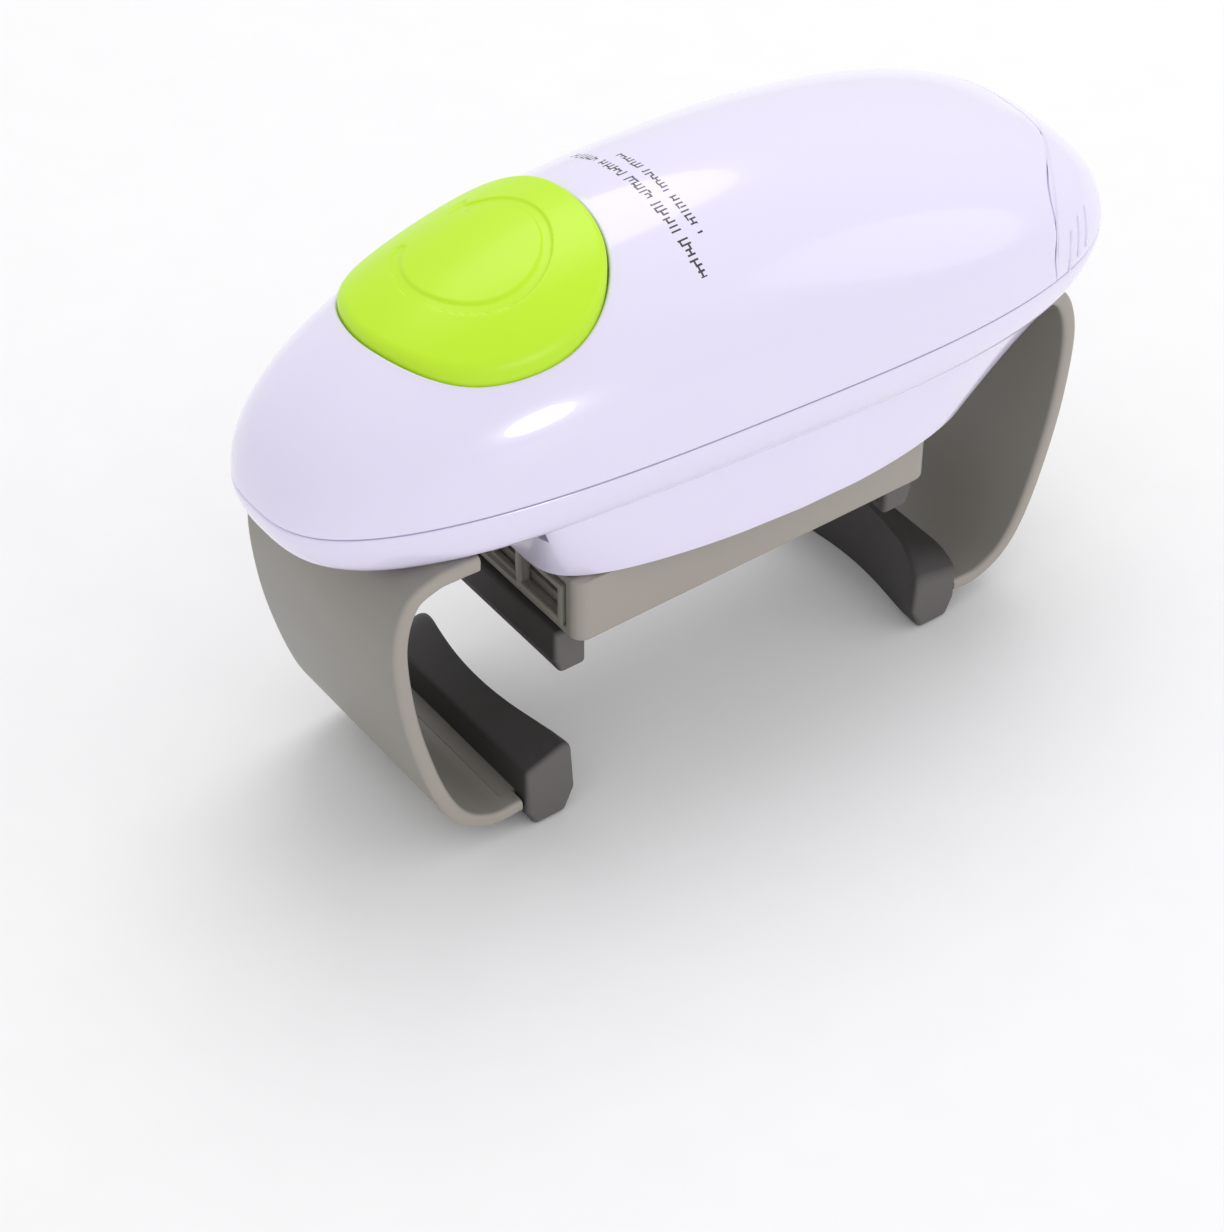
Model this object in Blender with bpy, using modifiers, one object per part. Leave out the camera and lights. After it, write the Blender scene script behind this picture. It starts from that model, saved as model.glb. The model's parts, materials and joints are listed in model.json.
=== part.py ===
"""One-touch automatic jar opener: an egg-shaped battery housing, two sliding arms that
hold the jar, and a turning carriage whose two jaws hold the lid.

The origin is on the surface that the arm pads stand on, under the middle of the housing.
+X points towards the battery end, +Z up. Lengths are in metres.
"""

import math

import bmesh
import bpy
from mathutils import Matrix, Vector

MM = 0.001
GAP = 0.3 * MM  # between pieces that touch

# Housing. Heights below are measured from the seam between its two shells.
SEAM_Z = 93 * MM
HALF_LENGTH = 105 * MM
HALF_WIDTH = 38.7 * MM
WIDTH_TAPER = 0.179  # wider towards the battery end
PLAN_POWER = 2.88  # at the seam; the dome's level lines grow rounder towards its top
TOP_POWER = 2.0
DOME_HEIGHT = 42.4 * MM
DOME_TAPER = -0.124  # lower towards the battery end
WALL = 2.2 * MM
RIM_DEPTH = 10 * MM
RIM_STEPS = ((0.15, 1.0), (5.0, 0.985), (8.6, 0.962), (10.0, 0.935))  # mm down, scale
AROUND = 44
DOME_LEVELS = 7
LEVEL_ROUNDS = 12  # to settle on the level line through a place

# Skirt under the housing, round the turning carriage
SKIRT_BOTTOM = -29 * MM
SKIRT_TOP_X = (-56 * MM, 87 * MM)
SKIRT_BOTTOM_X = (-51.5 * MM, 62 * MM)
SKIRT_MIDDLE = -20 * MM  # the height at which half of its slope is done
SKIRT_POWER = 10
SKIRT_WALL = 2.4 * MM
SKIRT_WIDEST_X = 15 * MM
SKIRT_HALF_WIDTH = 38 * MM
SKIRT_REACH = (93 * MM, 75 * MM)  # ellipse half-lengths to either side of the widest place

# Battery door and batteries
DOOR_SIDE = ((73.4, -1), (73.4, 4), (74.6, 8.3), (76.2, 13.4), (79, 17.6), (83, 19),
             (120, 19), (120, -1))  # mm: the part of the dome that is the door, seen from the side
CELL_RADIUS = 7.25 * MM
CELL_X = (41.5 * MM, 92 * MM)
CELL_Y = 7.8 * MM
CELL_Z = 6.5 * MM

# Button
BUTTON_X = -51.6 * MM
BUTTON_RADIUS = 26.3 * MM
BUTTON_SIDES = 32

# Arms
ARM_HALF_WIDTH = 28 * MM
ARM_THICKNESS = 3.4 * MM
ARM_PATH = ((70, -13.3), (75, -13.15), (80.4, -13.4), (86.6, -16.4), (89.7, -27), (88.2, -44), (84.8, -60),
            (80.2, -74), (75, -82.3), (68, -86.3), (60.8, -86.3))  # mm: |x|, height
ARM_PATH_STEPS = 3
PAD_PROFILE = ((60.3, -76.5), (48.5, -72.6), (47, -87), (50.2, -93), (58, -93), (60, -83))
PAD_HALF_LENGTH = 29 * MM
PAD_HOLLOW_RADIUS = 73.1 * MM
PAD_HOLLOW_X = 20.1 * MM
RACK_Z = (-18.4 * MM, -15.2 * MM)

# Carriage and lid jaws
CARRIAGE_HALF_LENGTH = 47.5 * MM
CARRIAGE_HALF_WIDTH = 30 * MM
CARRIAGE_Z = (-45.8 * MM, -29.5 * MM)
CARRIAGE_WALL = 2.4 * MM
JAW_RACK_Z = (-39.9 * MM, -36.9 * MM)
JAW_X = (41 * MM, 49 * MM)
JAW_HALF_WIDTH = 24 * MM
JAW_BOTTOM = -58 * MM

# Gears
MODULE = 1 * MM
ADDENDUM = 0.8 * MODULE
DEDENDUM = 1.1 * MODULE
TOOTH_HALF = 0.62 * MODULE  # at the pitch line, thinner than half a pitch for backlash
FLANK = math.tan(math.radians(20))
ARM_PINION_TEETH = 20
JAW_PINION_TEETH = 12
OUTPUT_TEETH = 26
WHEEL_TEETH = 30
SMALL_TEETH = 10
FIRST_WHEEL_TEETH = 24
MOTOR_TEETH = 9
LEVELS = ((-7, -3), (-2, 0.5), (1.5, 4), (5, 7.5))  # mm: the four layers of the gear train
SHAFT_RADIUS = 2.5 * MM
AXLE_RADIUS = 1.5 * MM
PLATE_Z = (8.6 * MM, 10.4 * MM)
MOTOR_RADIUS = 10 * MM
MOTOR_FLAT = 7.55 * MM
ROUND = 20

NAME = "jar_opener"


def clear_scene():
    for obj in list(bpy.data.objects):
        bpy.data.objects.remove(obj, do_unlink=True)


def collection(name):
    made = bpy.data.collections.new(name)
    bpy.context.scene.collection.children.link(made)
    return made


clear_scene()
PARTS = collection(NAME)
CUTTERS = collection(NAME + "_cutters")


def material(name, colour, roughness, metallic=0.0):
    made = bpy.data.materials.new(name)
    made.use_nodes = True
    shader = made.node_tree.nodes["Principled BSDF"]
    shader.inputs["Base Color"].default_value = (*colour, 1)
    shader.inputs["Roughness"].default_value = roughness
    shader.inputs["Metallic"].default_value = metallic
    return made


WHITE = material("white_gloss_plastic", (0.80, 0.77, 0.88), 0.2)
LIME = material("lime_plastic", (0.58, 0.90, 0.05), 0.35)
GREY = material("warm_grey_plastic", (0.36, 0.33, 0.29), 0.45)
CHARCOAL = material("charcoal_rubber", (0.05, 0.05, 0.052), 0.7)
STEEL = material("bright_steel", (0.62, 0.62, 0.63), 0.3, 1.0)
BRASS = material("brass", (0.78, 0.6, 0.28), 0.3, 1.0)
NYLON = material("natural_nylon", (0.82, 0.79, 0.7), 0.5)
BLACK = material("black_plastic", (0.02, 0.02, 0.02), 0.5)
GREEN_BOARD = material("circuit_board", (0.02, 0.2, 0.07), 0.4)
CELL = material("cell_jacket", (0.05, 0.09, 0.2), 0.3)
RED = material("red_insulation", (0.6, 0.02, 0.02), 0.5)


# ---------------------------------------------------------------- mesh helpers

def finish(name, mesh, finish_material, smooth=True):
    """A named part made from a mesh."""
    mesh.name = name
    obj = bpy.data.objects.new(name, mesh)
    mesh.materials.clear()
    mesh.materials.append(finish_material)
    PARTS.objects.link(obj)
    if smooth:
        mesh.shade_smooth()
        mesh.set_sharp_from_angle(angle=math.radians(35))
    return obj


def tool(mesh):
    """A hidden solid that cuts a part or joins it."""
    obj = bpy.data.objects.new("tool", mesh)
    obj.hide_render = True
    obj.display_type = "WIRE"
    CUTTERS.objects.link(obj)
    return obj


def combine(obj, operation, *meshes, solver="EXACT"):
    for mesh in meshes:
        boolean = obj.modifiers.new(operation.lower(), "BOOLEAN")
        boolean.operation = operation
        boolean.solver = solver
        boolean.object = tool(mesh)


def cut(obj, *meshes):
    combine(obj, "DIFFERENCE", *meshes)


def join(obj, *meshes):
    combine(obj, "UNION", *meshes)


def mesh_from(bm):
    bmesh.ops.recalc_face_normals(bm, faces=bm.faces)
    mesh = bpy.data.meshes.new("shape")
    bm.to_mesh(mesh)
    bm.free()
    return mesh


def box(low, high):
    """A box between two corners, in metres from the seam's middle."""
    low, high = Vector(low), Vector(high)
    bm = bmesh.new()
    bmesh.ops.create_cube(bm, size=1)
    size = Matrix.Diagonal((*(high - low), 1))
    bmesh.ops.transform(bm, matrix=Matrix.Translation((low + high) / 2) @ size, verts=bm.verts)
    return mesh_from(bm)


def cylinder(radius, low, high, centre=(0, 0), sides=ROUND, axis="Z"):
    """A cylinder between two heights along an axis; centre is its place across that axis."""
    bm = bmesh.new()
    bmesh.ops.create_cone(bm, cap_ends=True, segments=sides, radius1=radius,
                          radius2=radius, depth=high - low)
    bmesh.ops.translate(bm, vec=(0, 0, (low + high) / 2), verts=bm.verts)
    if axis == "X":
        turn = Matrix.Rotation(math.radians(90), 4, "Y")
        place = Matrix.Translation((0, centre[0], centre[1]))
    else:
        turn = Matrix.Identity(4)
        place = Matrix.Translation((centre[0], centre[1], 0))
    bmesh.ops.transform(bm, matrix=place @ turn, verts=bm.verts)
    return mesh_from(bm)


def prism(outlines, low, high):
    """Flat outlines in XY, the second and later ones holes, between two heights."""
    curve = bpy.data.curves.new("outline", "CURVE")
    curve.dimensions = "2D"
    curve.fill_mode = "BOTH"
    curve.extrude = (high - low) / 2
    for outline in outlines:
        spline = curve.splines.new("POLY")
        spline.points.add(len(outline) - 1)
        for point, (x, y) in zip(spline.points, outline):
            point.co = (x, y, 0, 1)
        spline.use_cyclic_u = True
    return mesh_of_curve(curve, Matrix.Translation((0, 0, (low + high) / 2)))


def mesh_of_curve(curve, place):
    obj = bpy.data.objects.new("curve", curve)
    bpy.context.scene.collection.objects.link(obj)
    bpy.context.view_layer.update()
    ready = obj.evaluated_get(bpy.context.evaluated_depsgraph_get())
    mesh = bpy.data.meshes.new_from_object(ready)
    bpy.data.objects.remove(obj)
    mesh.transform(place)
    bm = bmesh.new()
    bm.from_mesh(mesh)
    bmesh.ops.remove_doubles(bm, verts=bm.verts, dist=1e-6)
    return mesh_from(bm)


def side_prism(outline, half_width):
    """An outline in XZ drawn out along Y."""
    mesh = prism([outline], -half_width, half_width)
    mesh.transform(Matrix.Rotation(math.radians(90), 4, "X"))
    return mesh


def loft(rings):
    """A closed skin over rings of points; a ring of one point is a pole."""
    bm = bmesh.new()
    made = [[bm.verts.new(point) for point in ring] for ring in rings]
    for lower, upper in zip(made, made[1:]):
        count = max(len(lower), len(upper))
        for i in range(count):
            j = (i + 1) % count
            if len(lower) == 1:
                bm.faces.new((lower[0], upper[j], upper[i]))
            elif len(upper) == 1:
                bm.faces.new((lower[i], lower[j], upper[0]))
            else:
                bm.faces.new((lower[i], lower[j], upper[j], upper[i]))
    for ring in (made[0], made[-1]):
        if len(ring) > 2:
            bm.faces.new(ring)
    return mesh_from(bm)


def tube(points, radius):
    """A round wire through the given points."""
    curve = bpy.data.curves.new("wire", "CURVE")
    curve.dimensions = "3D"
    curve.bevel_depth = radius
    curve.bevel_resolution = 2
    curve.use_fill_caps = True
    spline = curve.splines.new("POLY")
    spline.points.add(len(points) - 1)
    for point, place in zip(spline.points, points):
        point.co = (*place, 1)
    return mesh_of_curve(curve, Matrix.Identity(4))


def smooth_path(points, steps):
    """Points on a Catmull-Rom curve through the given points."""
    given = [Vector(p) for p in points]
    ends = [2 * given[0] - given[1], *given, 2 * given[-1] - given[-2]]
    found = []
    for a, b, c, d in zip(ends, ends[1:], ends[2:], ends[3:]):
        for step in range(steps):
            t = step / steps
            found.append(0.5 * (2 * b + (c - a) * t + (2 * a - 5 * b + 4 * c - d) * t ** 2
                                + (3 * b - a - 3 * c + d) * t ** 3))
    return [*found, given[-1]]


def helix(radius, low, high, turns, per_turn=8, axis="Z", centre=(0, 0)):
    points = []
    for i in range(int(turns * per_turn) + 1):
        angle = 2 * math.pi * i / per_turn
        along = low + (high - low) * i / (turns * per_turn)
        across = (radius * math.cos(angle), radius * math.sin(angle))
        if axis == "X":
            points.append((along, centre[0] + across[0], centre[1] + across[1]))
        else:
            points.append((centre[0] + across[0], centre[1] + across[1], along))
    return points


def mirrored(mesh):
    """The same piece turned half a turn about Z, for the other end."""
    copy = mesh.copy()
    copy.transform(Matrix.Rotation(math.pi, 4, "Z"))
    return copy


# ---------------------------------------------------------------- housing form

def power(value, exponent):
    return math.copysign(abs(value) ** exponent, value)


def level_power(share):
    """The power of the dome's level line at a share of its plan."""
    return TOP_POWER + (PLAN_POWER - TOP_POWER) * min(1.0, share) ** 2


def plan_ring(scale, height, inset=0.0, dome=False):
    """One ring of the egg-shaped plan, at a share of its full size."""
    exponent = 2 / (level_power(scale) if dome else PLAN_POWER)
    ring = []
    for i in range(AROUND):
        angle = 2 * math.pi * (i + 0.5) / AROUND
        x = (HALF_LENGTH - inset) * scale * power(math.cos(angle), exponent)
        width = HALF_WIDTH * (1 + WIDTH_TAPER * x / HALF_LENGTH) - inset
        y = width * scale * power(math.sin(angle), exponent)
        rise = height
        if dome:
            top = DOME_HEIGHT * (1 + DOME_TAPER * x / HALF_LENGTH) - inset
            rise = max(height, top * math.sqrt(1 - scale ** 2))
        ring.append((x, y, rise))
    return ring


def dome_z(x, y, inset=0.0):
    """Height of the dome over a place in plan; inset gives its inner face."""
    width = HALF_WIDTH * (1 + WIDTH_TAPER * x / HALF_LENGTH) - inset
    share = 0.5
    for _ in range(LEVEL_ROUNDS):
        exponent = level_power(share)
        share = (abs(x / (HALF_LENGTH - inset)) ** exponent + abs(y / width) ** exponent) ** (1 / exponent)
    top = DOME_HEIGHT * (1 + DOME_TAPER * x / HALF_LENGTH) - inset
    return top * math.sqrt(max(0.0, 1 - share ** 2))


def dome_shell():
    """The whole upper shell before its button hole and door are cut."""
    scales = [math.cos(math.pi / 2 * i / DOME_LEVELS) for i in range(DOME_LEVELS)]
    low = GAP / 2
    outer = [plan_ring(s, low, dome=True) for s in scales]
    inner = [plan_ring(s, low, inset=WALL, dome=True) for s in scales]
    outer_top = [(0, 0, DOME_HEIGHT)]
    inner_top = [(0, 0, DOME_HEIGHT - WALL)]
    return loft([outer_top, *reversed(outer), *inner, inner_top])


BOSS_RADIUS = 3.2 * MM
SCREW_PLACES = ((-86 * MM, 12 * MM), (-86 * MM, -12 * MM), (34 * MM, 29 * MM), (34 * MM, -29 * MM))


def upper_housing():
    shell = finish("upper_housing", dome_shell(), WHITE)
    for x, y in SCREW_PLACES:
        outer_corner = (x + math.copysign(BOSS_RADIUS, x), y + math.copysign(BOSS_RADIUS, y))
        top = dome_z(*outer_corner, WALL) + 1.7 * MM
        join(shell, cylinder(BOSS_RADIUS, GAP / 2, top, (x, y), 10))
        cut(shell, cylinder(1.6 * MM, -MM, 8 * MM, (x, y), 8))
    cut(shell, cylinder(BUTTON_RADIUS + 0.5 * MM, 5 * MM, 60 * MM, (BUTTON_X, 0), 48))
    cut(shell, door_solid())


def door_solid(gap=0.0):
    """The space that the door takes from the dome, drawn in by a gap."""
    outline = [(x * MM + gap, z * MM - gap) for x, z in DOOR_SIDE]
    return side_prism(outline, 60 * MM)


def battery_door():
    door = finish("battery_door", dome_shell(), WHITE)
    combine(door, "INTERSECT", door_solid(GAP))
    tongue = box((80 * MM, -7 * MM, 15.2 * MM), (93.6 * MM, 7 * MM, 16.8 * MM))
    rib = box((93.6 * MM, -5 * MM, 3 * MM), (100.6 * MM, 5 * MM, 9 * MM))
    join(door, tongue, rib)
    contact = box((92.5 * MM, -12 * MM, 1.5 * MM), (93.3 * MM, 12 * MM, 11.5 * MM))
    finish("door_contact", contact, STEEL)


def skirt_width(x):
    reach = SKIRT_REACH[0] if x < SKIRT_WIDEST_X else SKIRT_REACH[1]
    return SKIRT_HALF_WIDTH * math.sqrt(1 - ((x - SKIRT_WIDEST_X) / reach) ** 2)


def rim_width(x):
    share = 1 - abs(x / HALF_LENGTH) ** PLAN_POWER
    return 0.93 * HALF_WIDTH * (1 + WIDTH_TAPER * x / HALF_LENGTH) * share ** (1 / PLAN_POWER)


def skirt_ring(height, share, inset=0.0, points=32):
    """The skirt's outline; share runs from 0 at its top to 1 at its bottom edge."""
    low, high = (a + (b - a) * share for a, b in zip(SKIRT_TOP_X, SKIRT_BOTTOM_X))
    middle, half = (low + high) / 2, (high - low) / 2 - inset
    ring = []
    for i in range(points):
        angle = 2 * math.pi * (i + 0.5) / points
        x = middle + half * power(math.cos(angle), 2 / SKIRT_POWER)
        width = rim_width(x) * (1 - share) + skirt_width(x) * share - inset
        ring.append((x, width * power(math.sin(angle), 2 / SKIRT_POWER), height))
    return ring


def lower_housing():
    rings = [plan_ring(scale, -depth * MM) for depth, scale in reversed(RIM_STEPS)]
    floor_scale = RIM_STEPS[-1][1]
    inner = [plan_ring(1.0, -GAP / 2, inset=WALL), plan_ring(floor_scale, -8 * MM, inset=WALL)]
    bowl = loft([[(0, 0, -RIM_DEPTH)], *rings, *inner, [(0, 0, -8 * MM)]])
    housing = finish("lower_housing", bowl, WHITE)
    join(housing, loft([skirt_ring(-8.6 * MM, 0), skirt_ring(SKIRT_MIDDLE, 0.5),
                        skirt_ring(SKIRT_BOTTOM, 1)]))
    cut(housing, loft([skirt_ring(-10 * MM, 0.05, SKIRT_WALL),
                       skirt_ring(SKIRT_MIDDLE, 0.5, SKIRT_WALL),
                       skirt_ring(SKIRT_BOTTOM - 2 * MM, 1, SKIRT_WALL)]))
    cut(housing,
        box((55 * MM, -29.2 * MM, -35 * MM), (95 * MM, 29.2 * MM, -10.3 * MM)),
        box((-70 * MM, -20 * MM, -21 * MM), (-45 * MM, 20 * MM, -10.3 * MM)),
        box((-72 * MM, -29.2 * MM, -15.6 * MM), (-45 * MM, 29.2 * MM, -10.3 * MM)))
    for x, y in SCREW_PLACES:
        join(housing, cylinder(4.6 * MM, -9 * MM, -GAP / 2, (x, y), 12))
        cut(housing, cylinder(3 * MM, -12 * MM, -6.5 * MM, (x, y), 12),
            cylinder(1.7 * MM, -8 * MM, 2 * MM, (x, y), 8))
    for x, y in ((-34, 26), (-34, -26), (26, 24), (26, -24)):
        join(housing, cylinder(2.5 * MM, -9 * MM, PLATE_Z[0] - GAP, (x * MM, y * MM), 8))
    for x in (-62, -41.5):
        join(housing, cylinder(2.5 * MM, -9 * MM, 3.7 * MM, (x * MM, 0), 8))
    cut(housing, cylinder(SHAFT_RADIUS + GAP, -14 * MM, 0))


def bearing_plate():
    outline = [point[:2] for point in skirt_ring(0, 1, 2.8 * MM)]
    plate = finish("bearing_plate", prism([outline], -28.8 * MM, -26 * MM), GREY)
    cut(plate, cylinder(14 * MM, -30 * MM, -20 * MM),
        box((53 * MM, -40 * MM, -40 * MM), (90 * MM, 40 * MM, 0)))


# ---------------------------------------------------------------- button and switch

def button_grid():
    """A round cap whose faces follow the dome: (radius, height over a dome face, which face)."""
    profile = ((0, 1.2, 0), (9, 1.2, 0), (17, 1.2, 0), (23.5, 1.2, 0), (25.6, 0.9, 0), (26.3, 0.2, 0),
               (26.3, -1.7, WALL), (28.2, -1.7, WALL), (28.2, -3.2, WALL), (24.6, -3.2, WALL),
               (24.6, -1.6, 0), (17, -1.6, 0), (9, -1.6, 0), (0, -1.6, 0))
    rings = []
    for radius, over, inset in profile:
        count = BUTTON_SIDES if radius else 1
        ring = []
        for i in range(count):
            angle = 2 * math.pi * i / BUTTON_SIDES
            x = BUTTON_X + radius * MM * math.cos(angle)
            y = radius * MM * math.sin(angle)
            ring.append((x, y, dome_z(x, y, inset) + over * MM))
        rings.append(ring)
    return loft(rings)


def button():
    cap = finish("button", button_grid(), LIME)
    join(cap, cylinder(SHAFT_RADIUS, 18.2 * MM, 38.4 * MM, (BUTTON_X, 0), 12))
    coil = helix(5 * MM, 14.8 * MM, 35.6 * MM, 5, centre=(BUTTON_X, 0))
    finish("button_spring", tube(coil, 0.45 * MM), STEEL)


def switch():
    board = box((BUTTON_X - 14 * MM, -10 * MM, 4 * MM), (BUTTON_X + 14 * MM, 10 * MM, 5.6 * MM))
    finish("switch_board", board, GREEN_BOARD, smooth=False)
    body = box((BUTTON_X - 6 * MM, -6 * MM, 5.9 * MM), (BUTTON_X + 6 * MM, 6 * MM, 13.9 * MM))
    body = finish("switch_body", body, BLACK, smooth=False)
    join(body, cylinder(3 * MM, 13 * MM, 15.9 * MM, (BUTTON_X, 0), 16))


# ---------------------------------------------------------------- batteries

def battery_group():
    tray = box((37 * MM, -17.5 * MM, -7.7 * MM), (92 * MM, 17.5 * MM, CELL_Z))
    tray = finish("battery_tray", tray, BLACK, smooth=False)
    for side, number in ((1, 1), (-1, 2)):
        place = (side * CELL_Y, CELL_Z)
        cut(tray, cylinder(CELL_RADIUS + GAP, 41.2 * MM, 95 * MM, place, axis="X"),
            cylinder(5 * MM, 38.6 * MM, 42 * MM, place, 16, axis="X"))
        low, high = CELL_X
        nub_at = low if number == 2 else high
        inside = nub_at + (1.4 * MM if number == 2 else -1.4 * MM)
        can = (inside, high) if number == 2 else (low, inside)
        cell = finish(f"battery_{number}", cylinder(CELL_RADIUS, *can, place, axis="X"), CELL)
        nub = (low, inside + MM) if number == 2 else (inside - MM, high)
        join(cell, cylinder(2.75 * MM, *nub, place, 16, axis="X"))
    coil = helix(3.4 * MM, 39.4 * MM, 41 * MM, 2, axis="X", centre=(CELL_Y, CELL_Z))
    finish("battery_spring", tube(coil, 0.4 * MM), STEEL)
    plate = cylinder(4.5 * MM, 39.6 * MM, 40.6 * MM, (-CELL_Y, CELL_Z), 16, axis="X")
    finish("contact_plate", plate, STEEL)


# ---------------------------------------------------------------- gears

def gear_outline(teeth, first=0.0):
    """Teeth with straight flanks; a tooth's middle is at the angle first."""
    pitch = teeth * MODULE / 2
    points = []
    for i in range(teeth):
        middle = first + 2 * math.pi * i / teeth
        corners = ((-1, -DEDENDUM), (-1, ADDENDUM), (1, ADDENDUM), (1, -DEDENDUM))
        for side, height in corners:
            radius = pitch + height
            angle = middle + side * (TOOTH_HALF - height * FLANK) / radius
            points.append((radius * math.cos(angle), radius * math.sin(angle)))
    return points


def circle(radius, count=12):
    return [(radius * math.cos(2 * math.pi * i / count), radius * math.sin(2 * math.pi * i / count))
            for i in range(count)]


def gear(teeth, level, bore, centre=(0, 0), first=0.0):
    mesh = prism([gear_outline(teeth, first), circle(bore)], *level)
    mesh.transform(Matrix.Translation((*centre, 0)))
    return mesh


def layer(number):
    return tuple(height * MM for height in LEVELS[number])


def pitch_radius(teeth):
    return teeth * MODULE / 2


def from_centre(place, distance, degrees):
    angle = math.radians(degrees)
    return (place[0] + distance * math.cos(angle), place[1] + distance * math.sin(angle))


# The third wheel's pinion stands clear of the output gear by a gap between the tooth tips.
OPEN_DISTANCE = pitch_radius(OUTPUT_TEETH) + pitch_radius(SMALL_TEETH) + 2 * ADDENDUM + GAP
WHEEL_DISTANCE = pitch_radius(WHEEL_TEETH) + pitch_radius(SMALL_TEETH)
MOTOR_DISTANCE = pitch_radius(FIRST_WHEEL_TEETH) + pitch_radius(MOTOR_TEETH)
GEAR_3 = from_centre((0, 0), OPEN_DISTANCE, 150)
GEAR_2 = from_centre(GEAR_3, WHEEL_DISTANCE, -90)
GEAR_1 = from_centre(GEAR_2, WHEEL_DISTANCE, -25)
MOTOR = from_centre(GEAR_1, MOTOR_DISTANCE, 45)


def facing(degrees, teeth):
    """First tooth of a gear whose gap faces the direction that its mate comes from."""
    return math.radians(degrees + 180) + math.pi / teeth


def compound_gear(number, centre, wheel_teeth, wheel_first, small_first):
    """A wheel with a smaller pinion under it, on one axle."""
    small_level, wheel_level = layer(3 - number), layer(4 - number)
    bore = AXLE_RADIUS + GAP
    wheel = gear(wheel_teeth, wheel_level, bore, centre, wheel_first)
    made = finish(f"gear_{number}", wheel, NYLON, smooth=False)
    pinion_level = (small_level[0], wheel_level[0] + 0.6 * MM)
    join(made, gear(SMALL_TEETH, pinion_level, bore, centre, small_first))
    bottom = -8 * MM + GAP
    axle = cylinder(AXLE_RADIUS, bottom, PLATE_Z[1], centre, 16)
    finish(f"gear_axle_{number}", axle, STEEL)


def gear_train():
    compound_gear(3, GEAR_3, WHEEL_TEETH, math.radians(-90), 0.0)
    compound_gear(2, GEAR_2, WHEEL_TEETH, math.radians(-25), facing(-90, SMALL_TEETH))
    compound_gear(1, GEAR_1, FIRST_WHEEL_TEETH, math.radians(45), facing(-25, SMALL_TEETH))
    outline = [(-37, -26), (-31, -30), (26, -30), (30, -26), (30, 22), (26, 27), (-31, 30), (-37, 26)]
    corners = [(x * MM, y * MM) for x, y in outline]
    plate = finish("gear_plate", prism([corners], *PLATE_Z), STEEL, smooth=False)
    holes = [(GEAR_3, AXLE_RADIUS), (GEAR_2, AXLE_RADIUS), (GEAR_1, AXLE_RADIUS),
             ((0, 0), SHAFT_RADIUS), (MOTOR, 2 * MM)]
    for place, radius in holes:
        cut(plate, cylinder(radius + GAP, 6 * MM, 12 * MM, place, 12))
    for place in motor_screw_places():
        cut(plate, cylinder(1.3 * MM, 6 * MM, 12 * MM, place, 8))


def motor_screw_places():
    return [from_centre(MOTOR, 5.6 * MM, degrees) for degrees in (135, -45)]


def motor():
    low = PLATE_Z[1] + GAP
    can = finish("motor_can", cylinder(MOTOR_RADIUS, low, low + 20 * MM, MOTOR, 32), STEEL)
    x, y = MOTOR
    for side in (-1, 1):
        near, far = sorted((y + side * MOTOR_FLAT, y + side * 20 * MM))
        cut(can, box((x - 15 * MM, near, low - MM), (x + 15 * MM, far, low + 22 * MM)))
    cut(can, cylinder(6.7 * MM, low + MM, low + 22 * MM, MOTOR),
        cylinder(1.6 * MM, low - MM, low + 3 * MM, MOTOR, 16))
    for place in motor_screw_places():
        cut(can, cylinder(1 * MM, low - MM, low + 2.5 * MM, place, 8))
        screw = finish(f"motor_screw_{motor_screw_places().index(place) + 1}",
                       cylinder(1.7 * MM, 7.8 * MM, 8.3 * MM, place, 10), STEEL)
        join(screw, cylinder(0.7 * MM, 8.1 * MM, low + 2 * MM, place, 8))
    cap = finish("motor_end_cap",
                 cylinder(6.4 * MM, low + 18.6 * MM, low + 23.2 * MM, MOTOR), BLACK)
    join(cap, cylinder(7.3 * MM, low + 20.3 * MM, low + 23.2 * MM, MOTOR))
    cut(cap, cylinder(1.6 * MM, low + 18 * MM, low + 22 * MM, MOTOR, 12))
    rotor = finish("motor_rotor", cylinder(6 * MM, low + 3.5 * MM, low + 16.5 * MM, MOTOR), STEEL)
    join(rotor, cylinder(1 * MM, layer(3)[0], low + 21.5 * MM, MOTOR, 12))
    pinion = gear(MOTOR_TEETH, (layer(3)[0], layer(3)[1] - 0.1 * MM), 1 * MM + GAP, MOTOR,
                  facing(45, MOTOR_TEETH))
    finish("motor_pinion", pinion, BRASS, smooth=False)


def jaw_drive():
    """The upright shaft that carries the output gear and the jaw pinion."""
    shaft = cylinder(SHAFT_RADIUS, -43 * MM, PLATE_Z[1], (0, 0), 20)
    finish("drive_shaft", shaft, STEEL)
    finish("output_gear", gear(OUTPUT_TEETH, layer(0), SHAFT_RADIUS + GAP), NYLON, smooth=False)
    finish("jaw_pinion", gear(JAW_PINION_TEETH, JAW_RACK_Z, SHAFT_RADIUS + GAP,
                              first=math.pi / 2), BRASS, smooth=False)


def rack_teeth(pitch_line, low_x, high_x, back):
    """A rack along X in XY: teeth point to Y = 0, the back is the far edge of its bar."""
    step = math.pi * MODULE
    first = math.ceil((low_x + TOOTH_HALF * 2) / step - 0.5)
    last = math.floor((high_x - TOOTH_HALF * 2) / step - 0.5)
    root = pitch_line + DEDENDUM
    points = [(low_x, back), (low_x, root)]
    for i in range(first, last + 1):
        middle = (i + 0.5) * step
        for side, height in ((-1, -DEDENDUM), (-1, ADDENDUM), (1, ADDENDUM), (1, -DEDENDUM)):
            half = TOOTH_HALF - height * FLANK
            points.append((middle + side * half, pitch_line - height))
    return [*points, (high_x, root), (high_x, back)]


# ---------------------------------------------------------------- arms

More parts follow.
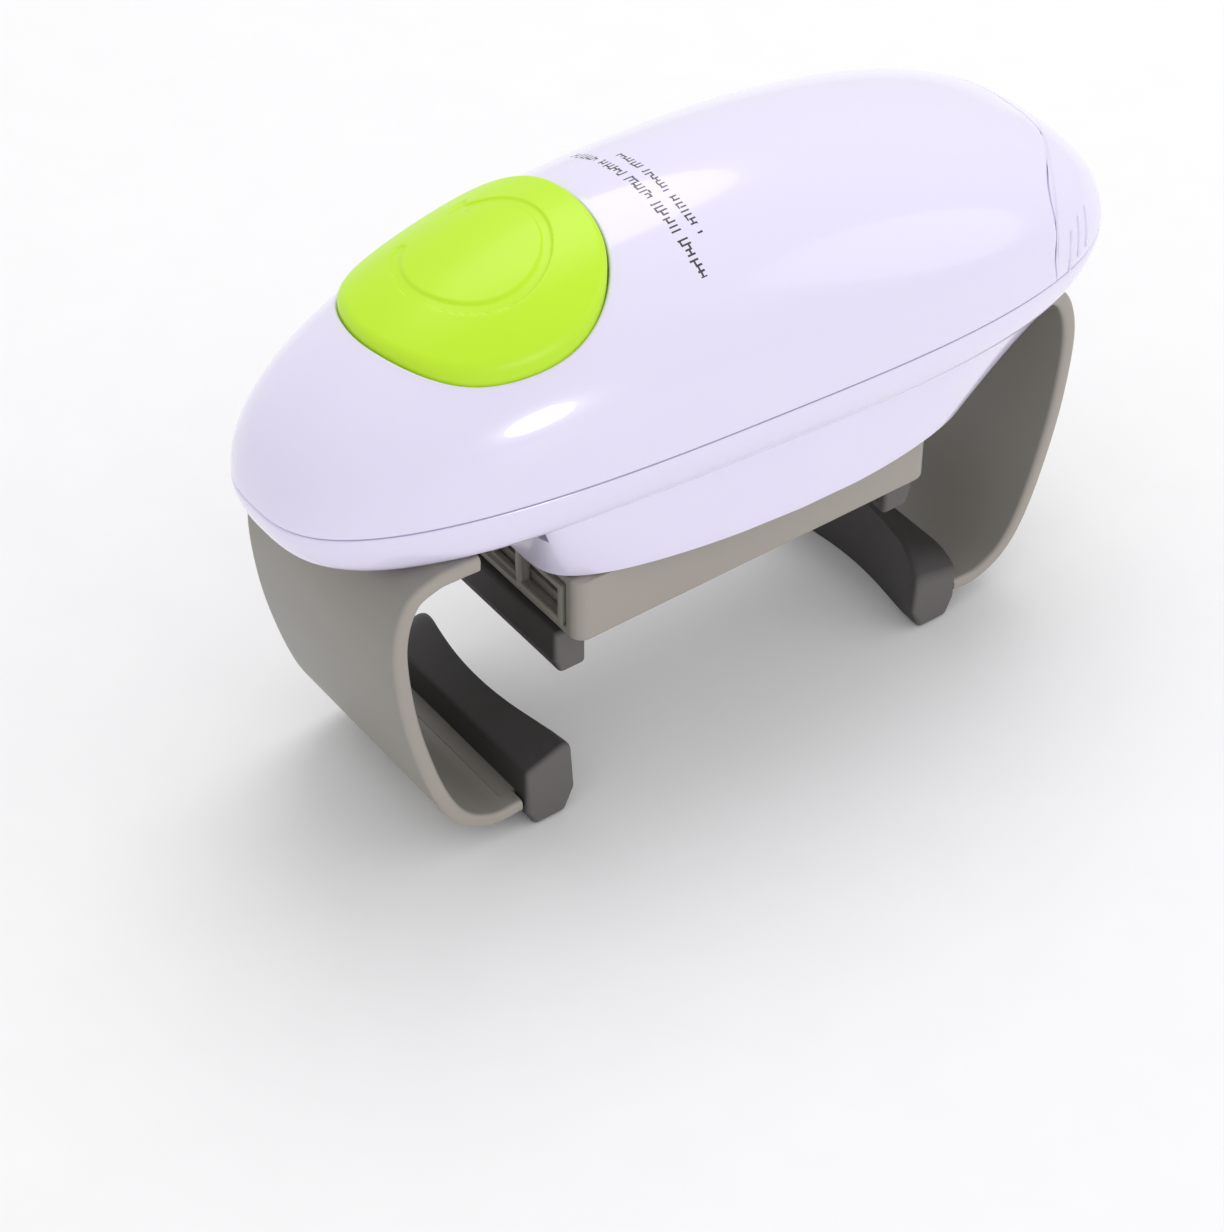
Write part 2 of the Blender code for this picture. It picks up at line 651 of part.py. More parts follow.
def arm_outline():
    """The arm's C section, from a smooth middle line and its thickness."""
    middle = smooth_path([(x * MM, z * MM) for x, z in ARM_PATH], ARM_PATH_STEPS)
    left, right = [], []
    for i, point in enumerate(middle):
        along = middle[min(i + 1, len(middle) - 1)] - middle[max(i - 1, 0)]
        across = Vector((-along.y, along.x)).normalized() * ARM_THICKNESS / 2
        left.append(tuple(point + across))
        right.append(tuple(point - across))
    return [*left, *reversed(right)]


def arm_meshes():
    """The right arm's body and what is joined to it or cut from it, at +X."""
    body = side_prism(arm_outline(), ARM_HALF_WIDTH)
    top = box((60 * MM, -19 * MM, -14.9 * MM), (82 * MM, 19 * MM, -11.6 * MM))
    tongue = box((56 * MM, -24 * MM, -87.9 * MM), (64 * MM, 24 * MM, -84.7 * MM))
    hole = cylinder(1.6 * MM, -16 * MM, -12.4 * MM, (68 * MM, 0), 12)
    return body, top, tongue, hole


def rack_meshes():
    low, high = RACK_Z
    bar = [(-x, -y) for x, y in rack_teeth(10 * MM, -62 * MM, 12 * MM, 17 * MM)]
    base = box((58 * MM, -17 * MM, low), (76 * MM, 17 * MM, high))
    hole = cylinder(1.6 * MM, low - MM, high + MM, (68 * MM, 0), 12)
    return prism([bar], low, high), base, hole


def pad_meshes():
    block = side_prism([(x * MM, z * MM) for x, z in PAD_PROFILE], PAD_HALF_LENGTH)
    hollow = cylinder(PAD_HOLLOW_RADIUS, -100 * MM, -60 * MM, (-PAD_HOLLOW_X, 0), 64)
    groove = box((55.7 * MM, -24.3 * MM, -88.2 * MM), (62 * MM, 24.3 * MM, -84.4 * MM))
    return block, hollow, groove


def arms():
    for side, turned in (("right", lambda m: m), ("left", mirrored)):
        body, top, tongue, hole = (turned(m) for m in arm_meshes())
        arm = finish(f"arm_{side}", body, GREY)
        join(arm, top, tongue)
        cut(arm, hole)
        bar, base, hole = (turned(m) for m in rack_meshes())
        rack = finish(f"arm_rack_{side}", bar, NYLON, smooth=False)
        join(rack, base)
        cut(rack, hole)
        block, hollow, groove = (turned(m) for m in pad_meshes())
        pad = finish(f"arm_pad_{side}", block, CHARCOAL)
        cut(pad, hollow, groove)
        head = turned(cylinder(2.6 * MM, -20.2 * MM, RACK_Z[0] - GAP, (68 * MM, 0), 16))
        shank = turned(cylinder(1.3 * MM, -19 * MM, -12.8 * MM, (68 * MM, 0), 12))
        screw = finish(f"arm_screw_{side}", head, STEEL)
        join(screw, shank)


def arm_drive():
    bore = SHAFT_RADIUS + 0.6 * MM
    pinion = gear(ARM_PINION_TEETH, RACK_Z, bore, first=math.pi / 2)
    finish("arm_pinion", pinion, NYLON, smooth=False)
    disc = prism([circle(8 * MM, 24), circle(bore)], -14.9 * MM, -13.6 * MM)
    finish("clutch_disc", disc, STEEL)
    coil = helix(6 * MM, -12.9 * MM, -10.8 * MM, 2)
    finish("clutch_spring", tube(coil, 0.4 * MM), STEEL)


# ---------------------------------------------------------------- carriage and jaws

def carriage():
    low, top = CARRIAGE_Z
    length, width = CARRIAGE_HALF_LENGTH, CARRIAGE_HALF_WIDTH
    shell = finish("carriage_body", box((-length, -width, low), (length, width, top)), GREY)
    bevel = shell.modifiers.new("rounded_corners", "BEVEL")
    bevel.width = 1.2 * MM
    bevel.segments = 2
    inner = (length - CARRIAGE_WALL, width - CARRIAGE_WALL)
    cut(shell, box((-inner[0], -inner[1], low - MM), (inner[0], inner[1], top - 2.2 * MM)))
    join(shell, cylinder(13.6 * MM, top - MM, -25.7 * MM))
    cut(shell, cylinder(4.5 * MM, -40 * MM, -20 * MM))
    for side in (-1, 1):
        for near, far in ((-23, -9.5), (-6, 2)):
            span = sorted((side * near * -MM, side * far * -MM))
            ends = sorted((side * 44 * MM, side * 49 * MM))
            cut(shell, box((ends[0], span[0], -42.5 * MM), (ends[1], span[1], -34.5 * MM)))
    cover = finish("carriage_cover", box((-44.8 * MM, -27.2 * MM, -45.6 * MM),
                                         (44.8 * MM, 27.2 * MM, -43.4 * MM)), GREY)
    for side in (-1, 1):
        for near, far in LEG_SPANS:
            span = sorted((side * (near - 0.8 * MM), side * (far + 0.8 * MM)))
            ends = sorted((-side * 18 * MM, -side * 50 * MM))
            cut(cover, box((ends[0], span[0], -48 * MM), (ends[1], span[1], -42 * MM)))
    corners = [(sx * 41.2 * MM, sy * 24.2 * MM) for sx in (-1, 1) for sy in (-1, 1)]
    for number, place in enumerate(corners, 1):
        join(shell, cylinder(3 * MM, -43.1 * MM, -31 * MM, place, 10))
        cut(shell, cylinder(1.4 * MM, -44 * MM, -36.5 * MM, place, 8))
        cut(cover, cylinder(1.4 * MM, -47 * MM, -42 * MM, place, 8),
            cylinder(2.5 * MM, -47 * MM, -44.4 * MM, place, 12))
        screw = finish(f"carriage_screw_{number}",
                       cylinder(2.1 * MM, -45.6 * MM, -44.7 * MM, place, 12), STEEL)
        join(screw, cylinder(1 * MM, -45 * MM, -37 * MM, place, 8))
    ring = prism([circle(18 * MM, 32), circle(5 * MM)], -25.4 * MM, -23.4 * MM)
    finish("retaining_ring", ring, STEEL)


# Where each jaw's two legs stand along Y, for the left jaw
LEG_SPANS = ((8 * MM, 14 * MM), (-18 * MM, -10 * MM))


def jaw_meshes():
    """The left jaw's slide: a rack, a cross bar under it and two legs; then the pad."""
    low, high = JAW_RACK_Z
    rack = prism([rack_teeth(6 * MM, -44.2 * MM, 14 * MM, 12 * MM)], low, high)
    cross = box((-44.7 * MM, -20 * MM, -43 * MM), (-40 * MM, 20 * MM, -40.3 * MM))
    riser = box((-44.6 * MM, 7.9 * MM, -41 * MM), (-40.2 * MM, 12.2 * MM, -38 * MM))
    legs = [box((-44.8 * MM, near, -53 * MM), (-42.8 * MM, far, -42 * MM))
            for near, far in LEG_SPANS]
    pad = box((-JAW_X[1], -JAW_HALF_WIDTH, JAW_BOTTOM), (-JAW_X[0], JAW_HALF_WIDTH, -46.2 * MM))
    pockets = [box((-45.1 * MM, near - GAP, -53.3 * MM), (-42.5 * MM, far + GAP, -40 * MM))
               for near, far in LEG_SPANS]
    return [rack, riser, cross, *legs], [pad, *pockets]


def jaws():
    for side, turned in (("left", lambda m: m), ("right", mirrored)):
        slide_shapes, pad_shapes = jaw_meshes()
        rack, *rest = (turned(m) for m in slide_shapes)
        slide = finish(f"jaw_slide_{side}", rack, GREY, smooth=False)
        combine(slide, "UNION", *rest, solver="MANIFOLD")
        block, *pockets = (turned(m) for m in pad_shapes)
        pad = finish(f"jaw_pad_{side}", block, CHARCOAL)
        bevel = pad.modifiers.new("rounded_edges", "BEVEL")
        bevel.width = 1 * MM
        bevel.segments = 2
        cut(pad, *pockets)


# ---------------------------------------------------------------- screws and wires

def housing_screws():
    for number, place in enumerate(SCREW_PLACES, 1):
        screw = finish(f"housing_screw_{number}",
                       cylinder(2.7 * MM, -8.7 * MM, -6.8 * MM, place, 16), STEEL)
        join(screw, cylinder(1.3 * MM, -7.5 * MM, 6 * MM, place, 12))


WIRE_ROUTES = {  # mm
    "wire_red": (RED, ((36.2, -7.8, 6.5), (33, -9, 12), (31, -12, 22), (27, -12, 31),
                       (21, -9, 34.8))),
    "wire_black": (BLACK, ((36.2, 7.8, 6.5), (32, 12, 11), (22, 20, 13), (0, 25, 13.5),
                           (-20, 24, 13), (-34, 17, 13), (-41, 11, 11.5), (-44, 8, 7.2))),
    "wire_switch": (RED, ((-44, -8, 7.2), (-41, -10, 11.5), (-34, -14, 13), (-20, -19, 15),
                          (-5, -17, 22), (1, -10, 31), (4.8, -8, 34.8))),
}


def wires():
    for name, (colour, route) in WIRE_ROUTES.items():
        points = smooth_path([tuple(v * MM for v in point) for point in route], 3)
        finish(name, tube(points, 0.7 * MM), colour)


def main():
    upper_housing()
    battery_door()
    lower_housing()
    bearing_plate()
    button()
    switch()
    battery_group()
    gear_train()
    motor()
    jaw_drive()
    arms()
    arm_drive()
    carriage()
    jaws()
    housing_screws()
    wires()
    rise = Matrix.Translation((0, 0, SEAM_Z))
    for obj in [*PARTS.objects, *CUTTERS.objects]:
        obj.matrix_world = rise @ obj.matrix_world


main()
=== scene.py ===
"""The jar opener's finished surfaces, built around its packed working model.

The housing, button, arms, grips, carriage, lid jaws, cells, springs and gears are made here at
full detail, each from the place and size of the part that it stands for.
"""

import json
import math

import bmesh
import bpy
import numpy as np
from bpy.props import FloatProperty, FloatVectorProperty, IntProperty, PointerProperty
from mathutils import Matrix, Vector


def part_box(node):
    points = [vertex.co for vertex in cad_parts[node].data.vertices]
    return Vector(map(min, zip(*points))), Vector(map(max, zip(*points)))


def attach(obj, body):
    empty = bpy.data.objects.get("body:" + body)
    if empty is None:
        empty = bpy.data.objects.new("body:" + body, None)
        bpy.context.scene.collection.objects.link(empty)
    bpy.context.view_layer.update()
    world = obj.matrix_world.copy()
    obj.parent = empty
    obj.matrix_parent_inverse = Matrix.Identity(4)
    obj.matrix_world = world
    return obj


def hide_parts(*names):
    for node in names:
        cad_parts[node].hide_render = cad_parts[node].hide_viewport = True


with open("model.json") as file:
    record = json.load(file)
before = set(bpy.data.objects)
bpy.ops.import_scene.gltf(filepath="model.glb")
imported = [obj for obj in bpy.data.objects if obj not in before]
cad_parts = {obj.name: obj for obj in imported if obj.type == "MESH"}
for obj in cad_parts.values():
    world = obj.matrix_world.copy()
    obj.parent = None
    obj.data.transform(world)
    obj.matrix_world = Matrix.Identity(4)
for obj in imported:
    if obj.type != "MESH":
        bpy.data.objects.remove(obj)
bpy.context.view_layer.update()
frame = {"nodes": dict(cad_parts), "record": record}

bl_info = {
    "name": "Jar Opener",
    "version": (1, 0, 0),
    "blender": (4, 5, 0),
    "location": "3D Viewport > Sidebar > Jar Opener",
    "description": "Builds the finished surfaces of a one-touch automatic jar opener",
    "category": "Object",
}

MM = 0.001

# Places read from the working model
DOOR_LOW, DOOR_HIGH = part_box("battery_door")
BUTTON_LOW, BUTTON_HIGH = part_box("button")
PAD_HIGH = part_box("arm_pad_right")[1]
ARM_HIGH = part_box("arm_right")[1]
CARRIAGE_LOW, CARRIAGE_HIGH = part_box("carriage_body")
JAW_LOW, JAW_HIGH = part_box("jaw_pad_right")
COVER_LOW, COVER_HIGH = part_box("carriage_cover")

SEAM = DOOR_LOW.z - 0.15 * MM  # height of the line between the two shells
HALF_LENGTH = DOOR_HIGH.x
HALF_WIDTH = 38.7 * MM
WIDTH_TAPER = 0.179
PLAN_POWER = 2.88  # at the seam; the dome's level lines grow rounder towards its top
TOP_POWER = 2.0
DOME_TAPER = -0.124
DOME_HEIGHT = 42.4 * MM
BUTTON_CENTRE = ((BUTTON_LOW.x + BUTTON_HIGH.x) / 2, 0.0)


# ------------------------------------------------------------------ node building

class Wire:
    """An output socket on which Python's operators add Math nodes."""

    def __init__(self, graph, socket):
        self.graph = graph
        self.socket = socket

    def _with(self, operation, *values, clamp=False):
        settings = {"operation": operation, "use_clamp": clamp}
        return self.graph.add("ShaderNodeMath", settings, *values)

    def __add__(self, other):
        return self._with("ADD", self, other)

    def __radd__(self, other):
        return self._with("ADD", other, self)

    def __sub__(self, other):
        return self._with("SUBTRACT", self, other)

    def __rsub__(self, other):
        return self._with("SUBTRACT", other, self)

    def __mul__(self, other):
        return self._with("MULTIPLY", self, other)

    def __rmul__(self, other):
        return self._with("MULTIPLY", other, self)

    def __truediv__(self, other):
        return self._with("DIVIDE", self, other)

    def __rtruediv__(self, other):
        return self._with("DIVIDE", other, self)

    def __pow__(self, other):
        return self._with("POWER", self, other)

    def __neg__(self):
        return self._with("MULTIPLY", self, -1.0)

    def __abs__(self):
        return self._with("ABSOLUTE", self)

    def __gt__(self, other):
        return self._with("GREATER_THAN", self, other)

    def __lt__(self, other):
        return self._with("LESS_THAN", self, other)

    def floor(self):
        return self._with("FLOOR", self)

    def modulo(self, other):
        return self._with("FLOORED_MODULO", self, other)

    def clamped(self):
        return self._with("ADD", self, 0.0, clamp=True)


class Graph:
    """Adds nodes to a shader or geometry tree."""

    def __init__(self, tree):
        self.tree = tree

    def add(self, kind, settings=None, *values, out=0, **named):
        """A node of a type, its settings, and the values or wires of its inputs."""
        node = self.tree.nodes.new(kind)
        for name, value in (settings or {}).items():
            setattr(node, name, value)
        pairs = [(node.inputs[i], value) for i, value in enumerate(values) if value is not None]
        pairs += [(node.inputs[name.replace("_", " ")], value) for name, value in named.items()]
        for socket, value in pairs:
            self.feed(socket, value)
        return Wire(self, node.outputs[out])

    def feed(self, socket, value):
        """Links a wire to an input, or sets a plain value there."""
        if isinstance(value, Wire):
            self.tree.links.new(value.socket, socket)
        else:
            socket.default_value = (*value[:3], 1.0) if socket.type == "RGBA" else value


# ------------------------------------------------------------------ finishes

class Finish:
    """A named material on Object coordinates, with one Principled shader."""

    def __init__(self, name):
        self.material = bpy.data.materials.new(name)
        self.material.use_nodes = True
        tree = self.material.node_tree
        tree.nodes.clear()
        self.graph = Graph(tree)
        self.shader = tree.nodes.new("ShaderNodeBsdfPrincipled")
        output = tree.nodes.new("ShaderNodeOutputMaterial")
        tree.links.new(self.shader.outputs[0], output.inputs[0])
        self.place = self.graph.add("ShaderNodeTexCoord", out="Object")

    def put(self, **inputs):
        """Values or wires for the shader's inputs; an underscore stands for a space."""
        for name, value in inputs.items():
            self.graph.feed(self.shader.inputs[name.replace("_", " ")], value)

    def noise(self, scale, detail=3.0, rough=0.55, at=None, out="Fac"):
        return self.graph.add("ShaderNodeTexNoise", None, out=out, Vector=at or self.place,
                              Scale=scale, Detail=detail, Roughness=rough)

    def mix(self, factor, first, second):
        """A colour between two colours."""
        mixed = self.graph.add("ShaderNodeMix", {"data_type": "RGBA"}, factor, out=2)
        for index, colour in ((6, first), (7, second)):
            self.graph.feed(mixed.socket.node.inputs[index], colour)
        return mixed

    def bump(self, height, strength, distance):
        return self.graph.add("ShaderNodeBump", None, out="Normal", Strength=strength,
                              Distance=distance, Height=height)

    def axes(self):
        split = self.graph.add("ShaderNodeSeparateXYZ", None, self.place)
        sockets = split.socket.node.outputs
        return [Wire(self.graph, sockets[i]) for i in range(3)]


def moulded(name, colour, roughness, grain, depth, coat=0.0, tone=0.05):
    """Injection-moulded plastic: fine spark-eroded grain and slow changes of tone."""
    made = Finish(name)
    slow, fine = made.noise(45.0, 2.0), made.noise(grain, 4.0, 0.7)
    light = [min(1.0, c * (1 + tone)) for c in colour]
    dark = [c * (1 - tone) for c in colour]
    made.put(Base_Color=made.mix(slow, dark, light),
             Roughness=(roughness - 0.04) + 0.08 * fine,
             Normal=made.bump(fine, 0.35, depth), Coat_Weight=coat, Coat_Roughness=0.08)
    return made


# Printed rows: X of the near edge, height of the marks, and both ends along Y
PRINT_ROWS = ((-15.8 * MM, 2.7 * MM, -25.5 * MM, 16.5 * MM), (-11.2 * MM, 2.2 * MM, -19 * MM, 7 * MM))
PRINT_SLANT = 0.05
STROKE = 0.95 * MM  # from one upright stroke of a mark to the next
WORD = 8.6 * MM


def printed_rows(made, x, y, z):
    """Where the shell is printed: rows of small strokes in groups, which spell nothing."""
    mask = None
    for row, (start, height, low, high) in enumerate(PRINT_ROWS):
        share = (x + y * PRINT_SLANT - start) / height
        cell = y / STROKE + 37.0 * row
        chance = [made.graph.add("ShaderNodeTexWhiteNoise", {"noise_dimensions": "1D"},
                                 W=cell.floor() + shift) for shift in (0.1, 51.3)]
        upright = (cell.modulo(1.0) < 0.36) * (share > chance[0] * 0.35) * (share < 1.0 - chance[1] * 0.3)
        level = chance[1] * 0.75 + 0.05
        cross = (share > level) * (share < level + 0.17) * (chance[0] > 0.35)
        inside = (y > low) * (y < high) * (y.modulo(WORD) < WORD * 0.84) * (z > SEAM + 20 * MM)
        marks = (upright + cross).clamped() * inside * (share > 0.0) * (share < 1.0)
        mask = marks if mask is None else mask + marks
    return mask.clamped()


def shell_white(tints):
    """Gloss white ABS with two rows of print beside the button."""
    made = Finish("shell_white")
    slow, fine = made.noise(18.0, 2.0), made.noise(900.0, 2.0)
    body = made.mix(slow, [c * 0.985 for c in tints.shell], tints.shell)
    ink = printed_rows(made, *made.axes())
    made.put(Base_Color=made.mix(ink, body, (0.03, 0.03, 0.035)),
             Roughness=0.16 + 0.05 * slow + 0.1 * ink,
             Normal=made.bump(fine, 0.08, 0.02 * MM), Coat_Weight=0.6, Coat_Roughness=0.05,
             IOR=1.5, Subsurface_Weight=0.08, Subsurface_Radius=(0.4, 0.4, 0.6),
             Subsurface_Scale=3 * MM)
    return made


def rubber(tints):
    """Charcoal rubber, with a painted highlight: paler on the ends of the grips and lid jaws."""
    made = Finish("charcoal_rubber")
    _, y, z = made.axes()
    jaw = z > JAW_LOW.z - MM
    half = PAD_HIGH.y - (PAD_HIGH.y - JAW_HIGH.y) * jaw
    # Painted highlight: the end faces are painted paler to stand in for light falling on them
    ends = ((abs(y) - half) / (1.2 * MM) + 1.0).clamped()
    fine, slow = made.noise(1100.0, 4.0, 0.7), made.noise(60.0, 2.0)
    body = made.mix(slow, [c * 0.85 for c in tints.grips], tints.grips)
    made.put(Base_Color=made.mix(ends, body, tints.grip_end_highlight), Roughness=0.58 + 0.1 * fine,
             Normal=made.bump(fine, 0.35, 0.08 * MM))
    return made


def warm_grey(tints):
    """Warm grey plastic with a painted highlight: its rims and side faces are painted a little paler than
    its broad faces.
    """
    made = Finish("warm_grey_plastic")
    _, y, _ = made.axes()
    start = ARM_HIGH.y - 1.2 * MM
    # Painted highlight: the rims and side faces are painted paler to stand in for light catching them
    rim = ((abs(y) - start) / (0.9 * MM)).clamped()
    slow, fine = made.noise(45.0, 2.0), made.noise(1500.0, 4.0, 0.7)
    body = made.mix(slow, [c * 0.95 for c in tints.arms], tints.arms)
    made.put(Base_Color=made.mix(rim, body, tints.arm_rim_highlight), Roughness=0.40 + 0.08 * fine,
             Normal=made.bump(fine, 0.35, 0.04 * MM))
    return made


def metal(name, colour, roughness, stretch, strength=0.25):
    """Drawn or turned metal: long fine scratches along one axis."""
    made = Finish(name)
    scaled = made.graph.add("ShaderNodeMapping", None, made.place, Scale=stretch)
    scratch = made.noise(1.0, 5.0, 0.65, at=scaled)
    patch = made.noise(120.0, 3.0)
    made.put(Base_Color=made.mix(patch, [c * 0.88 for c in colour], colour),
             Roughness=roughness + 0.14 * scratch, Metallic=1.0,
             Normal=made.bump(scratch, strength, 0.03 * MM))
    return made


def cell_jacket():
    """A plain printed jacket: dark body with a copper-coloured band at one end."""
    made = Finish("cell_jacket")
    x, _, _ = made.axes()
    low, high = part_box("battery_1")
    band = x > (low.x + (high.x - low.x) * 0.68)
    fine = made.noise(400.0, 3.0)
    made.put(Base_Color=made.mix(band, (0.02, 0.035, 0.08), (0.55, 0.25, 0.09)),
             Roughness=0.2 + 0.12 * fine, Coat_Weight=0.5, Metallic=band * 0.6,
             Normal=made.bump(fine, 0.15, 0.02 * MM))
    return made


def circuit_green():
    made = Finish("circuit_green")
    x, y, _ = made.axes()
    grid = (abs((x * 500.0).modulo(1.0) - 0.5) < 0.09) + (abs((y * 400.0).modulo(1.0) - 0.5) < 0.07)
    track = grid.clamped() * (made.noise(150.0, 1.0) > 0.5)
    made.put(Base_Color=made.mix(track, (0.01, 0.14, 0.05), (0.03, 0.30, 0.11)),
             Roughness=0.35 + 0.1 * track, Normal=made.bump(track, 0.4, 0.05 * MM), Coat_Weight=0.4)
    return made


FINISHES = {}


def make_finishes():
    tints = bpy.context.scene.opener_colours
    FINISHES["white_shell"] = shell_white(tints)
    FINISHES["lime_button"] = moulded("lime_plastic", tints.button, 0.36, 1300.0, 0.03 * MM, tone=0.02)
    FINISHES["grey_plastic"] = warm_grey(tints)
    FINISHES["charcoal_rubber"] = rubber(tints)
    FINISHES["nylon"] = moulded("natural_nylon", (0.80, 0.77, 0.67), 0.45, 700.0, 0.03 * MM)
    FINISHES["steel"] = metal("bright_steel", (0.62, 0.62, 0.64), 0.22, (3000.0, 3000.0, 120.0))
    FINISHES["brass"] = metal("turned_brass", (0.78, 0.58, 0.25), 0.25, (3000.0, 3000.0, 200.0))
    FINISHES["black_plastic"] = moulded("black_plastic", (0.022, 0.022, 0.024), 0.42, 1300.0, 0.03 * MM)
    FINISHES["circuit_board"] = circuit_green()
    FINISHES["cell_jacket"] = cell_jacket()
    FINISHES["red_insulation"] = moulded("red_insulation", (0.55, 0.02, 0.02), 0.4, 600.0, 0.02 * MM)


# ------------------------------------------------------------------ mesh building

CORNERS = ((-1, -1), (1, -1), (1, 1), (-1, 1))

def mesh_object(name, verts, faces, crease=35.0):
    """A closed mesh with its faces turned outwards and its sharp edges marked."""
    mesh = bpy.data.meshes.new(name)
    mesh.from_pydata([tuple(v) for v in verts], [], faces)
    bm = bmesh.new()
    bm.from_mesh(mesh)
    bmesh.ops.remove_doubles(bm, verts=bm.verts, dist=1e-7)
    bmesh.ops.recalc_face_normals(bm, faces=bm.faces)
    bm.to_mesh(mesh)
    bm.free()
    mesh.shade_smooth()
    mesh.set_sharp_from_angle(angle=math.radians(crease))
    obj = bpy.data.objects.new(name, mesh)
    bpy.context.scene.collection.objects.link(obj)
    return obj


def skin(name, rings, closed=False, crease=35.0):
    """A skin over rings of points. One point is a pole, and closed joins the last to the first."""
    verts, starts = [], []
    for ring in rings:
        starts.append(len(verts))
        verts.extend(np.atleast_2d(ring))
    faces = []
    spans = list(range(len(rings) - 1)) + ([-1] if closed else [])
    for i in spans:
        lower, upper = rings[i], rings[i + 1]
        a, b = starts[i], starts[i + 1]
        many_low, many_up = len(np.atleast_2d(lower)) > 1, len(np.atleast_2d(upper)) > 1
        count = max(len(np.atleast_2d(lower)), len(np.atleast_2d(upper)))
        for k in range(count):
            j = (k + 1) % count
            if not many_low:
                faces.append((a, b + j, b + k))
            elif not many_up:
                faces.append((a + k, a + j, b))
            else:
                faces.append((a + k, a + j, b + j, b + k))
    if not closed:
        for start, ring in ((starts[0], rings[0]), (starts[-1], rings[-1])):
            size = len(np.atleast_2d(ring))
            if size > 2:
                faces.append(tuple(range(start, start + size)))
    return mesh_object(name, verts, faces, crease)


def boolean(obj, operation, *others):
    """Joins or cuts with other objects, applies it and removes them."""
    for other in others:
        step = obj.modifiers.new(operation.lower(), "BOOLEAN")
        step.operation = operation
        step.solver = "EXACT"
        step.object = other
    settle(obj)
    for other in others:
        bpy.data.objects.remove(other)
    return obj


def settle(obj, crease=35.0):
    """Replaces an object's mesh by its evaluated one and drops the modifiers."""
    bpy.context.view_layer.update()
    ready = obj.evaluated_get(bpy.context.evaluated_depsgraph_get())
    mesh = bpy.data.meshes.new_from_object(ready)
    obj.modifiers.clear()
    obj.data = mesh
    mesh.shade_smooth()
    mesh.set_sharp_from_angle(angle=math.radians(crease))
    return obj


def soften(obj, width, segments=2, angle=30.0):
    """Rounds the sharp edges of a finished piece."""
    bevel = obj.modifiers.new("edges", "BEVEL")
    bevel.width = width
    bevel.segments = segments
    bevel.limit_method = "ANGLE"
    bevel.angle_limit = math.radians(angle)
    bevel.harden_normals = False
    return settle(obj, 40.0)


def block(low, high, name="block"):
    corners = ((0, 0), (1, 0), (1, 1), (0, 1))
    low, high = np.array(low), np.array(high)
    rings = [np.array([low + (high - low) * (x, y, z) for x, y in corners]) for z in (0, 1)]
    return skin(name, rings)


def slab(x, y, z, side=1):
    """A block from its spans along X, Y and height from the seam, in mm; side -1 turns X over."""
    spans = sorted((side * x[0], side * x[1])), sorted(y), sorted(z)
    low, high = (np.array([span[i] for span in spans]) * MM + (0, 0, SEAM) for i in (0, 1))
    return block(low, high)


def round_bar(radius, low, high, centre=(0, 0), count=48):
    turn = np.linspace(0, 2 * math.pi, count, endpoint=False)
    rings = [np.stack([centre[0] + radius * np.cos(turn), centre[1] + radius * np.sin(turn),
                       np.full(count, height)], 1) for height in (low, high)]
    return skin("bar", rings)


def peg(radius, low, high, centre=(0, 0), count=48):
    """An upright round bar with its radius and its heights from the seam in mm."""
    return round_bar(radius * MM, SEAM + low * MM, SEAM + high * MM, centre, count)


def middle(node):
    """The middle of a working part in plan."""
    low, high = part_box(node)
    return (low.x + high.x) / 2, (low.y + high.y) / 2


def turned(name, profile, centre=(0, 0), count=48, axis="Z", crease=35.0):
    """A turned solid from (radius, height) points; radius 0 makes a pole."""
    turn = np.linspace(0, 2 * math.pi, count, endpoint=False)
    rings = []
    for radius, height in profile:
        angles = turn if radius > 0 else turn[:1]
        across = radius * np.cos(angles), radius * np.sin(angles)
        along = np.full(len(angles), height)
        if axis == "Z":
            rings.append(np.stack([centre[0] + across[0], centre[1] + across[1], along], 1))
        else:
            rings.append(np.stack([along, centre[0] + across[0], centre[1] + across[1]], 1))
    closed = profile[0][0] > 0 and profile[-1][0] > 0
    return skin(name, rings, closed=closed, crease=crease)


def rounded_outline(corners, radii, steps=6):
    """A closed outline in two axes with each corner rounded by its radius."""
    points = [np.array(c, float) for c in corners]
    radii = [radii] * len(points) if np.isscalar(radii) else radii
    found = []
    for i, (corner, radius) in enumerate(zip(points, radii)):
        before, after = points[i - 1] - corner, points[(i + 1) % len(points)] - corner
        before, after = before / np.linalg.norm(before), after / np.linalg.norm(after)
        half = math.acos(np.clip(before @ after, -1, 1)) / 2
        reach = radius / math.tan(half)
        centre = corner + (before + after) / np.linalg.norm(before + after) * radius / math.sin(half)
        start, end = corner + before * reach - centre, corner + after * reach - centre
        span = math.acos(np.clip(start @ end / radius ** 2, -1, 1))
        for t in np.linspace(0, 1, steps):
            found.append(centre + (start * math.sin((1 - t) * span) + end * math.sin(t * span))
                         / math.sin(span))
    return np.array(found)


def for_side(obj, side):
    """A right-hand piece as it is, or turned half a turn about the upright axis for the left."""
    if side == "left":
        obj.data.transform(Matrix.Rotation(math.pi, 4, "Z"))
    return obj


def merge(name, *objects):
    """One object from several separate bodies."""
    bm = bmesh.new()
    for obj in objects:
        bm.from_mesh(obj.data)
    mesh = bpy.data.meshes.new(name)
    bm.to_mesh(mesh)
    bm.free()
    for obj in objects:
        bpy.data.objects.remove(obj)
    mesh.shade_smooth()
    mesh.set_sharp_from_angle(angle=math.radians(35))
    made = bpy.data.objects.new(name, mesh)
    bpy.context.scene.collection.objects.link(made)
    return made


def dress(obj, body, slot, *replaced, finish=None):
    """Gives a piece its finish, its body and the working parts that it stands for."""
    obj.data.materials.clear()
    obj.data.materials.append(FINISHES[finish or slot].material)
    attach(obj, body)
    if replaced:
        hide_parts(*replaced)
    return obj


# ------------------------------------------------------------------ the housing's form

def plan_width(x):
    return HALF_WIDTH * (1 + WIDTH_TAPER * x / HALF_LENGTH)


def dome_top(x):
    return DOME_HEIGHT * (1 + DOME_TAPER * x / HALF_LENGTH)


